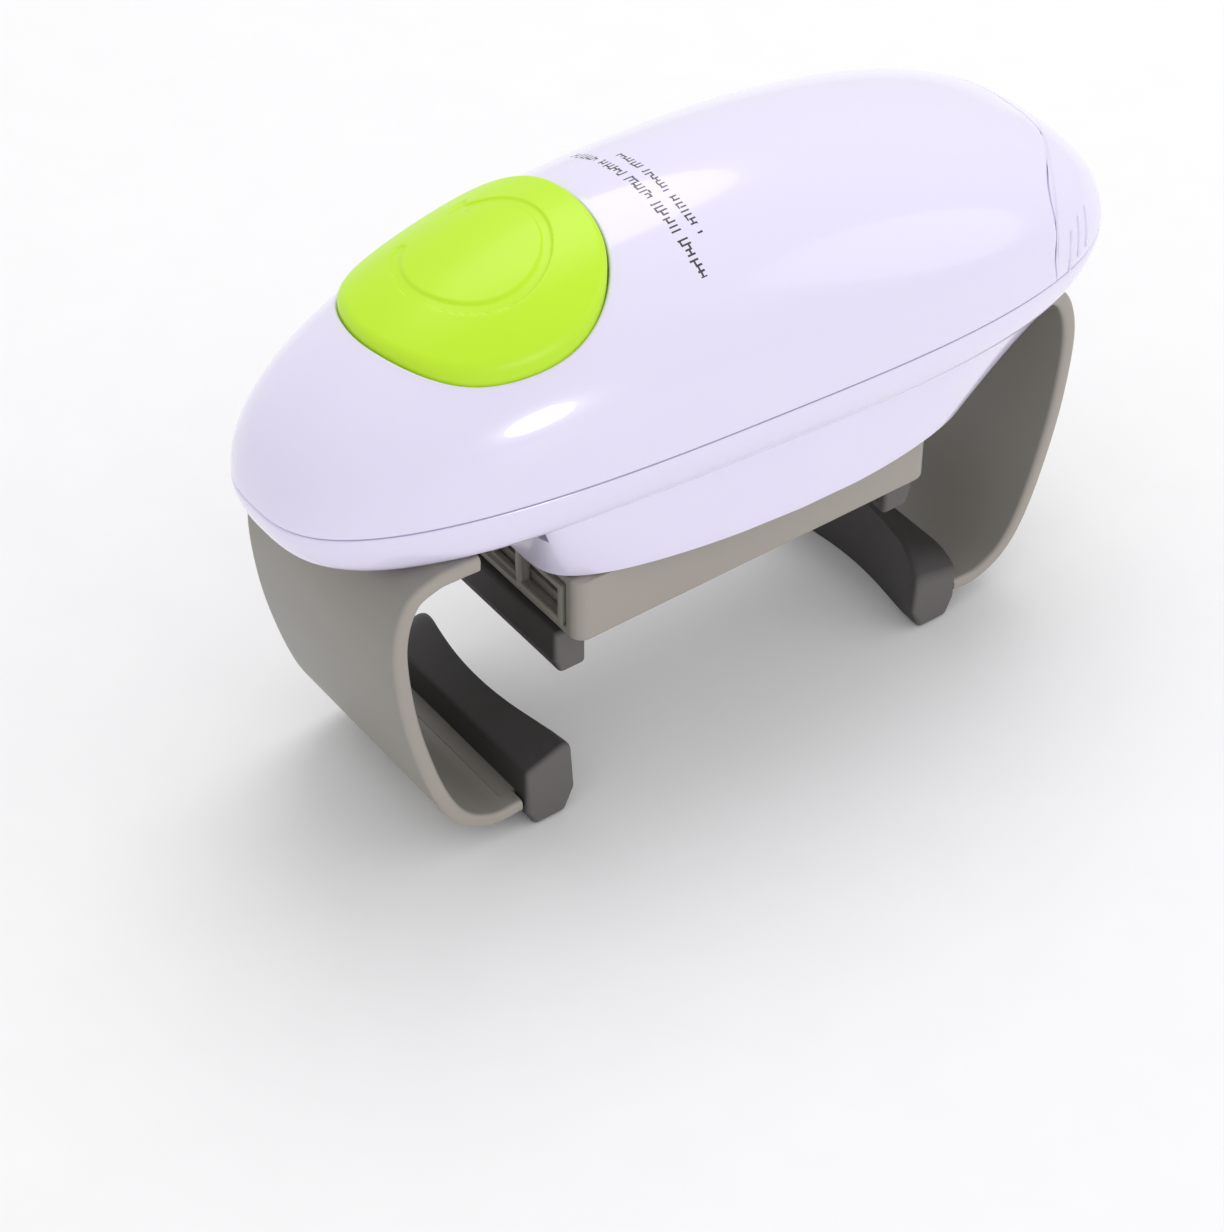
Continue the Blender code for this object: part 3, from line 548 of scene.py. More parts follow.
def share_squared(x, y):
    along, across = np.abs(x / HALF_LENGTH), np.abs(y / plan_width(x))
    share = np.full(np.broadcast(along, across).shape, 0.5)
    for _ in range(24):
        power = TOP_POWER + (PLAN_POWER - TOP_POWER) * np.minimum(share, 1) ** 2
        share = (along ** power + across ** power + 1e-30) ** (1 / power)
    return share ** 2


def dome_height(x, y):
    return SEAM + dome_top(x) * np.sqrt(np.clip(1 - share_squared(x, y), 0, None))


def dome_normal(points):
    """Outward normals of the dome from the slope of its own formula."""
    x, y, z = points[..., 0], points[..., 1], points[..., 2] - SEAM
    step = 1e-6

    def form(a, b, c):
        return share_squared(a, b) + (c / dome_top(a)) ** 2

    slope = np.stack([form(x + step, y, z) - form(x - step, y, z),
                      form(x, y + step, z) - form(x, y - step, z),
                      form(x, y, z + step) - form(x, y, z - step)], -1)
    return slope / np.linalg.norm(slope, axis=-1, keepdims=True)


def plan_point(angle):
    c, s = np.cos(angle), np.sin(angle)
    x = HALF_LENGTH * np.sign(c) * np.abs(c) ** (2 / PLAN_POWER)
    return np.stack([x, plan_width(x) * np.sign(s) * np.abs(s) ** (2 / PLAN_POWER)], -1)


# The battery door's edge, seen from the side: X and height over the seam, in mm
DOOR_SIDE = ((73.7, 0), (73.3, 3), (73.4, 5.9), (74.5, 8.3), (75.5, 10.6), (76.2, 13.4), (76.9, 15.6),
             (78.6, 17.6), (81.4, 18.7), (85.1, 19.1), (88.4, 19.0), (90.2, 18.9), (92, 18.8))


def door_edge(count):
    """The joint between shell and door in plan, from the seam on +Y over to the seam on -Y."""
    side = smooth_path(DOOR_SIDE, 12) * MM
    found = []
    for x, z in side:
        share = math.sqrt(max(0.0, 1 - (z / dome_top(x)) ** 2))
        power = TOP_POWER + (PLAN_POWER - TOP_POWER) * share ** 2
        rest = share ** power - (abs(x) / HALF_LENGTH) ** power
        if rest <= 0:
            break
        found.append((x, plan_width(x) * rest ** (1 / power)))
    x, z = side[-1]
    found.append((HALF_LENGTH * math.sqrt(1 - (z / dome_top(x)) ** 2), 0.0))
    half = np.array(found)
    whole = np.vstack([half, half[-2::-1] * (1, -1)])
    return resample(whole, count, ends=True)


def shifted(line, gap):
    """A plan line moved sideways along its own normals."""
    along = np.gradient(line, axis=0)
    along /= np.linalg.norm(along, axis=1, keepdims=True)
    return line + np.stack([-along[:, 1], along[:, 0]], 1) * gap


def resample(points, count, ends=False):
    """Evenly spaced points along a line, the last one left out unless ends is set."""
    length = np.concatenate([[0], np.cumsum(np.linalg.norm(np.diff(points, axis=0), axis=1))])
    at = np.linspace(0, length[-1], count, endpoint=ends)
    return np.stack([np.interp(at, length, points[:, i]) for i in range(points.shape[1])], 1)


def plan_angle(point):
    """The plan outline's angle at a point on it."""
    x, y = abs(point[0]) / HALF_LENGTH, abs(point[1]) / plan_width(point[0])
    angle = math.atan2(y ** (PLAN_POWER / 2), x ** (PLAN_POWER / 2))
    return math.copysign(angle, point[1])


def shell_loop(gap, count, door):
    """The plan loop round the shell, or round the door, with the seam's part first."""
    edge = shifted(door_edge(count // 3 + 1), gap)
    corner = plan_angle(edge[0])
    if door:
        rim = resample(plan_point(np.linspace(-corner, corner, 3000)), count // 3)
        return np.vstack([rim, edge[:-1]]), len(rim) + 1
    rim = resample(plan_point(np.linspace(corner, 2 * math.pi - corner, 3000)), count)
    return np.vstack([rim, edge[::-1][:-1]]), len(rim) + 1


# The button's outline in plan: its radius in mm is a sum of cosines of whole multiples of the angle
BUTTON_WAVES = (25.98, -0.29, 0.38, -0.98, -0.62)


def button_radius(angle):
    return sum(wave * np.cos(k * angle) for k, wave in enumerate(BUTTON_WAVES)) * MM


def dome_rows(centre, radius, loop, rows):
    """Rows of points on the dome, from a radius round a centre out to a loop in plan."""
    out = loop - np.array(centre)
    unit = out / np.linalg.norm(out, axis=1, keepdims=True)
    start = np.array(centre) + unit * np.reshape(radius, (-1, 1))
    t = (1 - (1 - np.linspace(0, 1, 500)) ** 2)[:, None, None]
    plan = start + (loop - start) * t
    points = np.dstack([plan, dome_height(plan[..., 0], plan[..., 1])])
    reach = np.cumsum(np.linalg.norm(np.diff(points, axis=0), axis=2), axis=0)
    reach = np.vstack([np.zeros(len(loop)), reach])
    found = np.empty((rows, len(loop), 3))
    for k in range(len(loop)):
        at = np.linspace(0, reach[-1, k], rows)
        for axis in range(3):
            found[:, k, axis] = np.interp(at, reach[:, k], points[:, k, axis])
    return found


def edge_arc(point, outward, normal, wall, lip, steps=4):
    """Rows round a wall's free edge, from its outer face to its inner one."""
    outward = outward - normal * (outward * normal).sum(1, keepdims=True)
    outward = outward / np.linalg.norm(outward, axis=1, keepdims=True)
    rows = []
    for turn in np.linspace(0, math.pi / 2, steps):
        rows.append(point - (outward + normal) * lip
                    + lip * (outward * math.sin(turn) + normal * math.cos(turn)))
    for turn in np.linspace(0, math.pi / 2, steps):
        rows.append(point - outward * lip - normal * (wall - lip)
                    + lip * (outward * math.cos(turn) - normal * math.sin(turn)))
    return rows


def walled(name, rows, wall, lip, pole=False):
    """A wall of even thickness inside rows of the dome, with rounded free edges."""
    normals = dome_normal(rows)
    inner = rows - normals * wall
    last = edge_arc(rows[-1], rows[-1] - rows[-2], normals[-1], wall, lip)
    if pole:
        rings = [rows[0][:1], *rows[1:-1], *last, *inner[1:-1][::-1], inner[0][:1]]
        return skin(name, rings, crease=50)
    first = edge_arc(rows[0], rows[0] - rows[1], normals[0], wall, lip)
    rings = [*rows[1:-1], *last, *inner[1:-1][::-1], *first[::-1]]
    return skin(name, rings, closed=True, crease=50)


HALF_SEAM = 0.12 * MM  # half of the gap between two shells
LIP = 0.45 * MM  # rounding of a shell's free edge
DOOR_POLE = (98 * MM, 0.0)  # where the rows of the door's mesh meet


def build_upper_shell():
    sizes = bpy.context.scene.opener_housing
    loop, seam_points = shell_loop(-HALF_SEAM, sizes.around, door=False)
    out = loop - np.array(BUTTON_CENTRE)
    hole = button_radius(np.arctan2(out[:, 1], out[:, 0])) + sizes.button_gap
    rows = dome_rows(BUTTON_CENTRE, hole, loop, 64)
    rows[-1, :seam_points, 2] = SEAM + HALF_SEAM
    shell = walled("upper_shell", rows, sizes.wall, LIP)
    dress(shell, "housing", "white_shell", "upper_housing")


def build_battery_door():
    sizes = bpy.context.scene.opener_housing
    loop, seam_points = shell_loop(HALF_SEAM, sizes.around, door=True)
    rows = dome_rows(DOOR_POLE, 0.0, loop, 26)
    rows[-1, :seam_points, 2] = SEAM + HALF_SEAM
    door = walled("battery_door_shell", rows, sizes.wall, LIP, pole=True)
    dress(door, "battery_door", "white_shell", "battery_door")
    for side, name in ((-1, "near"), (1, "far")):
        ribs = door_ribs(side)
        ribs.name = f"battery_door_ribs_{name}"
        dress(ribs, "battery_door", "white_shell")
    build_door_latch()


def build_door_latch():
    """The tongue that slides under the shell and the rib that backs the contact."""
    tongue = slab((80, 93.6), (-7, 7), (15.3, 16.7))
    hook = slab((80, 81.4), (-7, 7), (16.2, 17.5))
    latch = soften(boolean(tongue, "UNION", hook), 0.3 * MM)
    rib = soften(slab((93.7, 100.4), (-5, 5), (3, 9)), 0.4 * MM)
    dress(merge("battery_door_latch", latch, rib), "battery_door", "white_shell")


# ------------------------------------------------------------------ repeating features

def geometry_tree(name, sizes):
    """A geometry tree with named number inputs; gives its graph and their wires."""
    tree = bpy.data.node_groups.new(name, "GeometryNodeTree")
    tree.interface.new_socket("Geometry", in_out="INPUT", socket_type="NodeSocketGeometry")
    for label, kind in sizes:
        tree.interface.new_socket(label, in_out="INPUT", socket_type=kind)
    tree.interface.new_socket("Geometry", in_out="OUTPUT", socket_type="NodeSocketGeometry")
    graph = Graph(tree)
    entry = tree.nodes.new("NodeGroupInput")
    wires = {socket.name: Wire(graph, socket) for socket in entry.outputs if socket.name}
    return graph, wires


def close_tree(graph, shape, finish):
    """Ends a tree in Realize Instances and Set Material."""
    real = graph.add("GeometryNodeRealizeInstances", None, shape)
    painted = graph.add("GeometryNodeSetMaterial", None, real)
    painted.socket.node.inputs["Material"].default_value = FINISHES[finish].material
    output = graph.tree.nodes.new("NodeGroupOutput")
    graph.tree.links.new(painted.socket, output.inputs[0])


def grown(name, base, graph, values, crease=35.0):
    """Runs a tree on a base mesh with its inputs set, as one plain mesh object."""
    obj = bpy.data.objects.new(name, base)
    bpy.context.scene.collection.objects.link(obj)
    modifier = obj.modifiers.new(name, "NODES")
    modifier.node_group = graph.tree
    sockets = {item.name: item.identifier for item in graph.tree.interface.items_tree
               if item.in_out == "INPUT"}
    for label, value in values.items():
        modifier[sockets[label]] = value
    obj.update_tag()
    made = settle(obj, crease)
    bm = bmesh.new()
    bm.from_mesh(made.data)
    bmesh.ops.remove_doubles(bm, verts=bm.verts, dist=1e-6)
    bmesh.ops.recalc_face_normals(bm, faces=bm.faces)
    bm.to_mesh(made.data)
    bm.free()
    made.data.shade_smooth()
    made.data.set_sharp_from_angle(angle=math.radians(crease))
    return made


def path_mesh(points, normals=None):
    """Separate points, with the directions that their copies stand in."""
    mesh = bpy.data.meshes.new("places")
    mesh.from_pydata([tuple(p) for p in points], [], [])
    if normals is not None:
        attribute = mesh.attributes.new("facing", "FLOAT_VECTOR", "POINT")
        attribute.data.foreach_set("vector", np.array(normals, np.float32).ravel())
    return mesh


FIRST_RIB = (79.3 * MM, 35.2 * MM)  # the innermost grip rib's place in plan
RIB_STEP = (3.6 * MM, -1.7 * MM)


def door_ribs(side):
    """Three grip ribs that stand on the door beside the seam, one capsule on each place."""
    sizes = bpy.context.scene.opener_housing
    graph, wires = geometry_tree("grip_ribs", [("Rib Width", "NodeSocketFloat"),
                                               ("Rib Length", "NodeSocketFloat")])
    ball = graph.add("GeometryNodeMeshUVSphere", None, 24, 16, 0.5)
    scale = graph.add("ShaderNodeCombineXYZ", None, wires["Rib Width"], wires["Rib Length"],
                      wires["Rib Width"])
    shaped = graph.add("GeometryNodeTransform", None, ball, Scale=scale)
    facing = graph.add("GeometryNodeInputNamedAttribute", {"data_type": "FLOAT_VECTOR"}, "facing")
    turn = graph.add("FunctionNodeAlignRotationToVector", {"axis": "Z"}, Vector=facing)
    copies = graph.add("GeometryNodeInstanceOnPoints", None, wires["Geometry"],
                       Instance=shaped, Rotation=turn)
    close_tree(graph, copies, "white_shell")
    places, facings = [], []
    for i in range(sizes.rib_count):
        x, y = FIRST_RIB[0] + RIB_STEP[0] * i, side * (FIRST_RIB[1] + RIB_STEP[1] * i)
        point = np.array([x, y, float(dome_height(np.array(x), np.array(y)))])
        normal = dome_normal(point[None])[0]
        places.append(point - normal * 0.25 * MM)
        facings.append(normal)
    return grown("battery_door_ribs", path_mesh(places, facings), graph,
                 {"Rib Width": sizes.rib_width, "Rib Length": sizes.rib_length})


# ------------------------------------------------------------------ lower shell

SKIRT_WIDEST, SKIRT_HALF_WIDTH = 15 * MM, 38 * MM  # the lower edge's widest place and half width there
SKIRT_REACH = (93 * MM, 75 * MM)  # half-lengths of its ellipse towards the button and the door
SKIRT_ENDS = ((-56, -51.5), (87, 62))  # X of both ends, each at the skirt's top and bottom, mm
SKIRT_HEIGHTS = (-8.6, -28.5)  # from the seam, mm; the bottom edge is rounded below that
SKIRT_EDGE = ((-28.8, 0.1), (-29, 0.4))  # the rounded edge: height and inset, mm
HOLLOW_HEIGHTS = (-10.2, -30.6)
SKIRT_WALL = 2.4 * MM
SKIRT_TOP_SCALE = 0.93  # the skirt's top outline, as a share of the rim's


def skirt_half_width(x):
    reach = np.where(x < SKIRT_WIDEST, *SKIRT_REACH)
    return SKIRT_HALF_WIDTH * np.sqrt(np.clip(1 - ((x - SKIRT_WIDEST) / reach) ** 2, 0.02, 1))


def rim_half_width(x, share):
    inside = np.clip(1 - np.abs(x / HALF_LENGTH) ** PLAN_POWER, 1e-6, 1)
    return share * plan_width(x) * inside ** (1 / PLAN_POWER)


def skirt_ring(height, share, inset=0.0, count=420):
    """The skirt's outline; share runs from 0 at its top to 1 at its bottom edge."""
    low, high = ((top + (bottom - top) * share) * MM for top, bottom in SKIRT_ENDS)
    low, high = low + inset, high - inset
    angle = np.linspace(0, 2 * math.pi, 6001)
    c, s = np.cos(angle), np.sin(angle)
    power = 2 / (10 + 16 * (1 - share))
    x = (low + high) / 2 + (high - low) / 2 * np.sign(c) * np.abs(c) ** power
    upright = np.clip((-x - 20 * MM) / (30 * MM), 0, 1)
    drawn_in = share ** (1 + 0.6 * upright)
    wide, narrow = rim_half_width(x, SKIRT_TOP_SCALE), skirt_half_width(x)
    half_width = wide * (1 - drawn_in) + narrow * drawn_in - inset
    outline = resample(np.stack([x, half_width * np.sign(s) * np.abs(s) ** power], 1), count)
    return np.column_stack([outline, np.full(count, SEAM + height)])


def rim_ring(angle, height, scale, sag=0.0):
    """A level ring of the rim, which hangs lower by sag at the button end."""
    flat = plan_point(angle) * scale
    towards = np.clip((-flat[:, 0] - 30 * MM) / (45 * MM), 0, 1)
    lower = sag * towards * towards * (3 - 2 * towards)
    return np.column_stack([flat, SEAM + height - lower])


RIM_PROFILE = ((-0.15, 0.9962), (-0.3, 0.9985), (-0.6, 1.0), (-2.0, 0.9985), (-4.0, 0.992), (-6.0, 0.983),
               (-7.6, 0.972), (-8.8, 0.960), (-9.6, 0.948), (-10.0, 0.934), (-10.1, 0.915))  # mm down, scale
RIM_INSIDE = ((-7.9, 0.905), (-6.5, 0.935), (-0.3, 0.974), (-0.15, 0.9775))
# What the arms and racks slide through: spans along X, Y and height from the seam, mm
ARM_OPENINGS = (((55, 95), (-29.2, 29.2), (-35, -10.3)), ((-70, -45), (-20, 20), (-21, -10.3)),
                ((-72, -46.4), (-28.3, 28.3), (-15.4, -10.4)))


def build_lower_shell():
    sizes = bpy.context.scene.opener_housing
    angle = np.linspace(0, 2 * math.pi, sizes.around, endpoint=False) + 0.003
    outer = [rim_ring(angle, depth * MM, scale, -depth / 8 * MM) for depth, scale in RIM_PROFILE]
    inner = [rim_ring(angle, depth * MM, scale) for depth, scale in RIM_INSIDE]
    top_pole, low_pole = (np.array([[0.0, 0.0, SEAM + depth * MM]])
                          for depth in (RIM_INSIDE[0][0], RIM_PROFILE[-1][0]))
    bowl = skin("lower_shell", [top_pole, *inner, *outer, low_pole])
    levels = np.linspace(0, 1, 9)
    wall = [skirt_ring(np.interp(t, (0, 1), SKIRT_HEIGHTS) * MM, t) for t in levels]
    wall += [skirt_ring(height * MM, 1, inset * MM) for height, inset in SKIRT_EDGE]
    hollow = [skirt_ring(np.interp(t, (0, 1), HOLLOW_HEIGHTS) * MM, max(t, 0.02), SKIRT_WALL)
              for t in levels]
    shell = boolean(bowl, "UNION", skin("skirt", wall))
    openings = [slab(*spans) for spans in ARM_OPENINGS]
    boolean(shell, "DIFFERENCE", skin("hollow", hollow), *openings, peg(2.8, -14, 0))
    for number in range(1, 5):
        place = middle(f"housing_screw_{number}")
        boolean(shell, "UNION", peg(4.6, -9, -0.3, place))
        boolean(shell, "DIFFERENCE", peg(3.1, -12, -6.5, place), peg(1.7, -8, 2, place))
    settle(shell, 28.0)
    dress(shell, "housing", "white_shell", "lower_housing")


# ------------------------------------------------------------------ button

MARK_OPENING = (math.radians(60), math.radians(125))  # where the arrow's ring is open
MARK_HEAD = 2.6 * MM  # how far the arrow's head reaches past its tip
MARK_SLOPE = 0.5 * MM  # width of the slope at the groove's edge


def turn_mark(x, y):
    """Depth of the pressed-in turning arrow at a place on the cap, from 0 to 1."""
    sizes = bpy.context.scene.opener_button
    radius, half = sizes.mark_radius, sizes.mark_width / 2
    tip, tail = MARK_OPENING
    away = np.abs((np.arctan2(y, x) - (tip + tail) / 2 + math.pi) % (2 * math.pi) - math.pi)
    ring = np.abs(np.hypot(x, y) - radius) - half
    ends = [np.hypot(x - radius * math.cos(end), y - radius * math.sin(end)) - half
            for end in MARK_OPENING]
    arc = np.where(away > (tail - tip) / 2, ring, np.minimum(*ends))
    px, py = x - radius * math.cos(tip), y - radius * math.sin(tip)
    along = py * math.cos(tip) - px * math.sin(tip)
    across = px * math.cos(tip) + py * math.sin(tip)
    head = np.maximum(np.abs(across) * 0.8 + along * 0.6 - MARK_HEAD, -along - 0.6 * MM)
    depth = np.clip(-np.minimum(arc, head) / MARK_SLOPE, 0, 1)
    return depth * depth * (3 - 2 * depth)


# The cap's skirt and its foot under the shell: distance from the cap's edge and height, mm
CAP_FOOT = ((0, -0.5), (0, -3.9), (1.9, -4.0), (1.9, -5.4), (-1.7, -5.4), (-1.9, -1.2))
CAP_UNDERSIDE = -1.2 * MM
STEM_RADIUS = 2.5 * MM


def build_button():
    sizes = bpy.context.scene.opener_button
    turn = np.linspace(0, 2 * math.pi, 288, endpoint=False)
    radius, edge, rise = sizes.radius, sizes.edge_round, sizes.rise
    profile = [(r, rise) for r in np.linspace(0, radius - edge, 96)[1:]]
    for t in np.linspace(0, math.pi / 2, 9)[1:]:
        profile.append((radius - edge * (1 - math.sin(t)), rise - edge * (1 - math.cos(t))))
    profile += [(radius + out * MM, height * MM) for out, height in CAP_FOOT]
    profile += [(14 * MM, CAP_UNDERSIDE), (3 * MM, CAP_UNDERSIDE)]
    rings = []
    for r, over in profile:
        reach = r * button_radius(turn) / radius
        x, y = reach * np.cos(turn), reach * np.sin(turn)
        z = dome_height(x + BUTTON_CENTRE[0], y) + over
        if over > 0:
            z = z + sizes.side_rise * (y / radius) ** 2
        if over == rise:
            z = z - sizes.mark_depth * turn_mark(x, y)
        rings.append(np.stack([x + BUTTON_CENTRE[0], y, z], 1))
    top = float(dome_height(np.array(BUTTON_CENTRE[0]), 0.0)) + rise
    crown, end = (np.array([[BUTTON_CENTRE[0], 0, height]]) for height in (top, BUTTON_LOW.z))
    stem = [np.stack([STEM_RADIUS * np.cos(turn) + BUTTON_CENTRE[0], STEM_RADIUS * np.sin(turn),
                      np.full(len(turn), height)], 1) for height in (rings[-1][0, 2], BUTTON_LOW.z)]
    cap = skin("button_cap", [crown, *rings, *stem, end], crease=40)
    dress(cap, "button", "lime_button", "button")


# ------------------------------------------------------------------ arms

ARM_PATH = ((70, -13.3), (75, -13.15), (80.4, -13.4), (86.4, -16.6), (89.4, -27), (88.2, -44), (84.8, -60),
            (80.2, -74), (75, -82.3), (68, -86.3), (60.8, -86.3))  # mm: |x|, height from the seam


def smooth_path(points, steps):
    """Points on a Catmull-Rom curve through the given points."""
    given = np.array(points, float)
    ends = np.vstack([2 * given[0] - given[1], given, 2 * given[-1] - given[-2]])
    found = []
    for a, b, c, d in zip(ends, ends[1:], ends[2:], ends[3:]):
        for t in np.linspace(0, 1, steps, endpoint=False):
            found.append(0.5 * (2 * b + (c - a) * t + (2 * a - 5 * b + 4 * c - d) * t ** 2
                                + (3 * b - a - 3 * c + d) * t ** 3))
    return np.array([*found, given[-1]])


def build_arm(side):
    sizes = bpy.context.scene.opener_grips
    path = smooth_path(ARM_PATH, 12) * MM
    path[:, 1] += SEAM
    along = np.gradient(path, axis=0)
    along /= np.linalg.norm(along, axis=1, keepdims=True)
    across = np.stack([-along[:, 1], along[:, 0]], 1)
    rings = []
    for point, direction, t in zip(path, across, np.linspace(0, 1, len(path))):
        half = sizes.arm_thickness / 2 * (1.12 - 0.24 * t)
        corners = [(x * half, y * sizes.arm_half_width) for x, y in CORNERS]
        ring = rounded_outline(corners, half * 0.62, 5)
        rings.append(np.stack([point[0] + direction[0] * ring[:, 0], ring[:, 1],
                               point[1] + direction[1] * ring[:, 0]], 1))
    body = skin(f"arm_{side}_shell", rings, crease=40)
    top = slab((60, 82), (-19, 19), (-14.9, -11.6))
    tongue = slab((56, 64), (-24, 24), (-87.9, -84.7))
    boolean(body, "UNION", top, tongue)
    boolean(body, "DIFFERENCE", peg(1.6, -16, -12.4, middle("arm_screw_right")))
    dress(for_side(body, side), f"{side}_arm", "grey_plastic", f"arm_{side}")


def along_y(half, lip, fine, even):
    """Places from -half to half, closer together within a lip's width of both ends."""
    bend = lip * (1 - np.cos(np.linspace(0, math.pi / 2, fine)))
    return np.concatenate([bend - half, np.linspace(lip - half, half - lip, even)[1:-1],
                           half - bend[::-1]])


def round_end(outline, y, half, lip):
    """An outline drawn in towards its middle where y is within a lip's width of an end."""
    edge = max(0.0, abs(y) - (half - lip))
    shrink = lip - math.sqrt(max(0.0, lip ** 2 - edge ** 2))
    away = outline - outline.mean(axis=0)
    return outline - away / np.linalg.norm(away, axis=1, keepdims=True) * shrink


PAD_CORNERS = ((60.3, -76.5), (48.5, -72.6), (47, -87), (50.2, -93), (58, -93), (60.2, -88.5))  # mm
PAD_ROUNDS = (1.5, 2.2, 1.8, 1.2, 1.0, 0.8)
PAD_LIP = 1.3 * MM
JAR_CENTRE, JAR_RADIUS = -20.1 * MM, 73.1 * MM  # the round hollow that a grip holds a jar with
PAD_BACK = 60.3 * MM
PAD_DROP_LENGTH, PAD_DROP = 9 * MM, 8 * MM  # the end that is rounded down
PAD_SHOULDER, PAD_CROWN = -86 * MM, 13.4 * MM  # height over which it is, from the seam


def build_pad(side):
    """A grip lofted along Y: its jar side is hollowed and one end is rounded down."""
    half = bpy.context.scene.opener_grips.pad_half_length
    outline = rounded_outline(PAD_CORNERS, PAD_ROUNDS, 7) * MM
    soft = 0.8 * MM
    rings = []
    for y in along_y(half, PAD_LIP, 6, 58):
        ring = round_end(outline, y, half, PAD_LIP)
        hollow = JAR_CENTRE + math.sqrt(JAR_RADIUS ** 2 - y ** 2)
        ring[:, 0] = hollow + soft * np.logaddexp(0, (ring[:, 0] - hollow) / soft)
        ring[:, 0] = np.minimum(ring[:, 0], PAD_BACK)
        drop = max(0.0, y - (half - PAD_DROP_LENGTH)) / PAD_DROP_LENGTH
        lower = PAD_DROP * (1 - math.sqrt(max(0.0, 1 - drop ** 2)))
        top = ring[:, 1] > PAD_SHOULDER
        ring[top, 1] -= lower * (ring[top, 1] - PAD_SHOULDER) / PAD_CROWN
        rings.append(np.stack([ring[:, 0], np.full(len(ring), -y), ring[:, 1] + SEAM], 1))
    pad = skin(f"arm_pad_{side}_grip", rings, crease=45)
    boolean(pad, "DIFFERENCE", slab((55.7, 62), (-24.3, 24.3), (-88.2, -84.4)))
    dress(for_side(pad, side), f"{side}_arm", "charcoal_rubber", f"arm_pad_{side}")


# ------------------------------------------------------------------ carriage

CARRIAGE_TOP = -29.5  # from the seam, mm
CARRIAGE_CORNER = 3.2 * MM
WINDOW_HEIGHT = (-42.5, -34.5)
JAW_LEGS = ((8, 14), (-18, -10))  # spans along Y of a jaw's two legs, mm


def windows():
    """The two openings in each end: signed end, and span along Y in mm."""
    for side in (-1, 1):
        for near, far in ((-23, -9.5), (-6, 2)):
            yield side, sorted((-side * near, -side * far))


def build_carriage():
    sizes = bpy.context.scene.opener_grips
    length, width = CARRIAGE_HIGH.x / MM, CARRIAGE_HIGH.y / MM
    low, wall = (CARRIAGE_LOW.z - SEAM) / MM, sizes.carriage_wall / MM
    lip = sizes.carriage_round

    def level(height, inset=0.0):
        corners = [(x * (CARRIAGE_HIGH.x - inset), y * (CARRIAGE_HIGH.y - inset)) for x, y in CORNERS]
        outline = rounded_outline(corners, CARRIAGE_CORNER - inset * 0.5, 8)
        return np.column_stack([outline, np.full(len(outline), height)])

    rings = [level(CARRIAGE_LOW.z + lip * (1 - math.cos(t)), lip * (1 - math.sin(t)))
             for t in np.linspace(0, math.pi / 2, 6)]
    top, edge = SEAM + CARRIAGE_TOP * MM, 0.3 * MM
    narrower = 1 - edge / CARRIAGE_HIGH.x
    rings += [level(top - edge), level(top) * (narrower, narrower, 1)]
    body = skin("carriage_shell", rings, crease=40)
    boolean(body, "DIFFERENCE", slab((wall - length, length - wall), (wall - width, width - wall),
                                     (low - 1, CARRIAGE_TOP - 2.2)))
    boolean(body, "UNION", peg(13.6, CARRIAGE_TOP - 1, -25.7, count=96))
    cutters = [peg(4.5, -40, -20)]
    for side in (-1, 1):
        cutters.append(slab((length - 1, length + 2), (4.2 - width, width - 4.2),
                            (low + 2.2, CARRIAGE_TOP - 1.6), side))
    for side, span in windows():
        cutters.append(slab((44, 49), span, WINDOW_HEIGHT, side))
    boolean(body, "DIFFERENCE", *cutters)
    for number in range(1, 5):
        place = middle(f"carriage_screw_{number}")
        boolean(body, "UNION", peg(3, -43.1, -31, place, 24))
        boolean(body, "DIFFERENCE", peg(1.4, -44, -36.5, place, 24))
    soften(body, 0.28 * MM, 2, 50)
    dress(body, "carriage", "grey_plastic", "carriage_body")


def build_window_ledges():
    """A raised ledge round the wider window at each end."""
    length = CARRIAGE_HIGH.x / MM
    frames = []
    for side, (near, far) in windows():
        if far - near > 10:
            ledge = slab((length - 1.2, length + 0.3), (near - 1.5, far + 1.5), (-44.2, -33), side)
            opening = slab((length - 3.2, length + 2.3), (near, far), WINDOW_HEIGHT, side)
            frames.append(soften(boolean(ledge, "DIFFERENCE", opening), 0.3 * MM))
    dress(merge("carriage_window_ledges", *frames), "carriage", "grey_plastic")


def build_cover():
    """The plate under the carriage with its leg slots and countersunk holes."""
    plate = block(COVER_LOW, COVER_HIGH, "carriage_cover_plate")
    cutters = []
    for side in (-1, 1):
        for near, far in JAW_LEGS:
            span = (side * (near - 0.8), side * (far + 0.8))
            cutters.append(slab((18, 50), span, (-48, -42), -side))
    boolean(plate, "DIFFERENCE", *cutters)
    for number in range(1, 5):
        place = middle(f"carriage_screw_{number}")
        boolean(plate, "DIFFERENCE", peg(1.4, -47, -42, place, 32), peg(2.5, -47, -44.4, place, 32))
    soften(plate, 0.25 * MM, 2, 50)
    dress(plate, "carriage", "grey_plastic", "carriage_cover")


JAW_LIP = 1.2 * MM
JAW_ROUNDS = (0.9 * MM, 1.2 * MM, 1.2 * MM, 0.9 * MM, 0.9 * MM)


def jaw_face(y):
    """X of the right jaw's hollow gripping face."""
    return JAW_LOW.x + bpy.context.scene.opener_grips.jaw_hollow * (1 - (y / JAW_HIGH.y) ** 2)


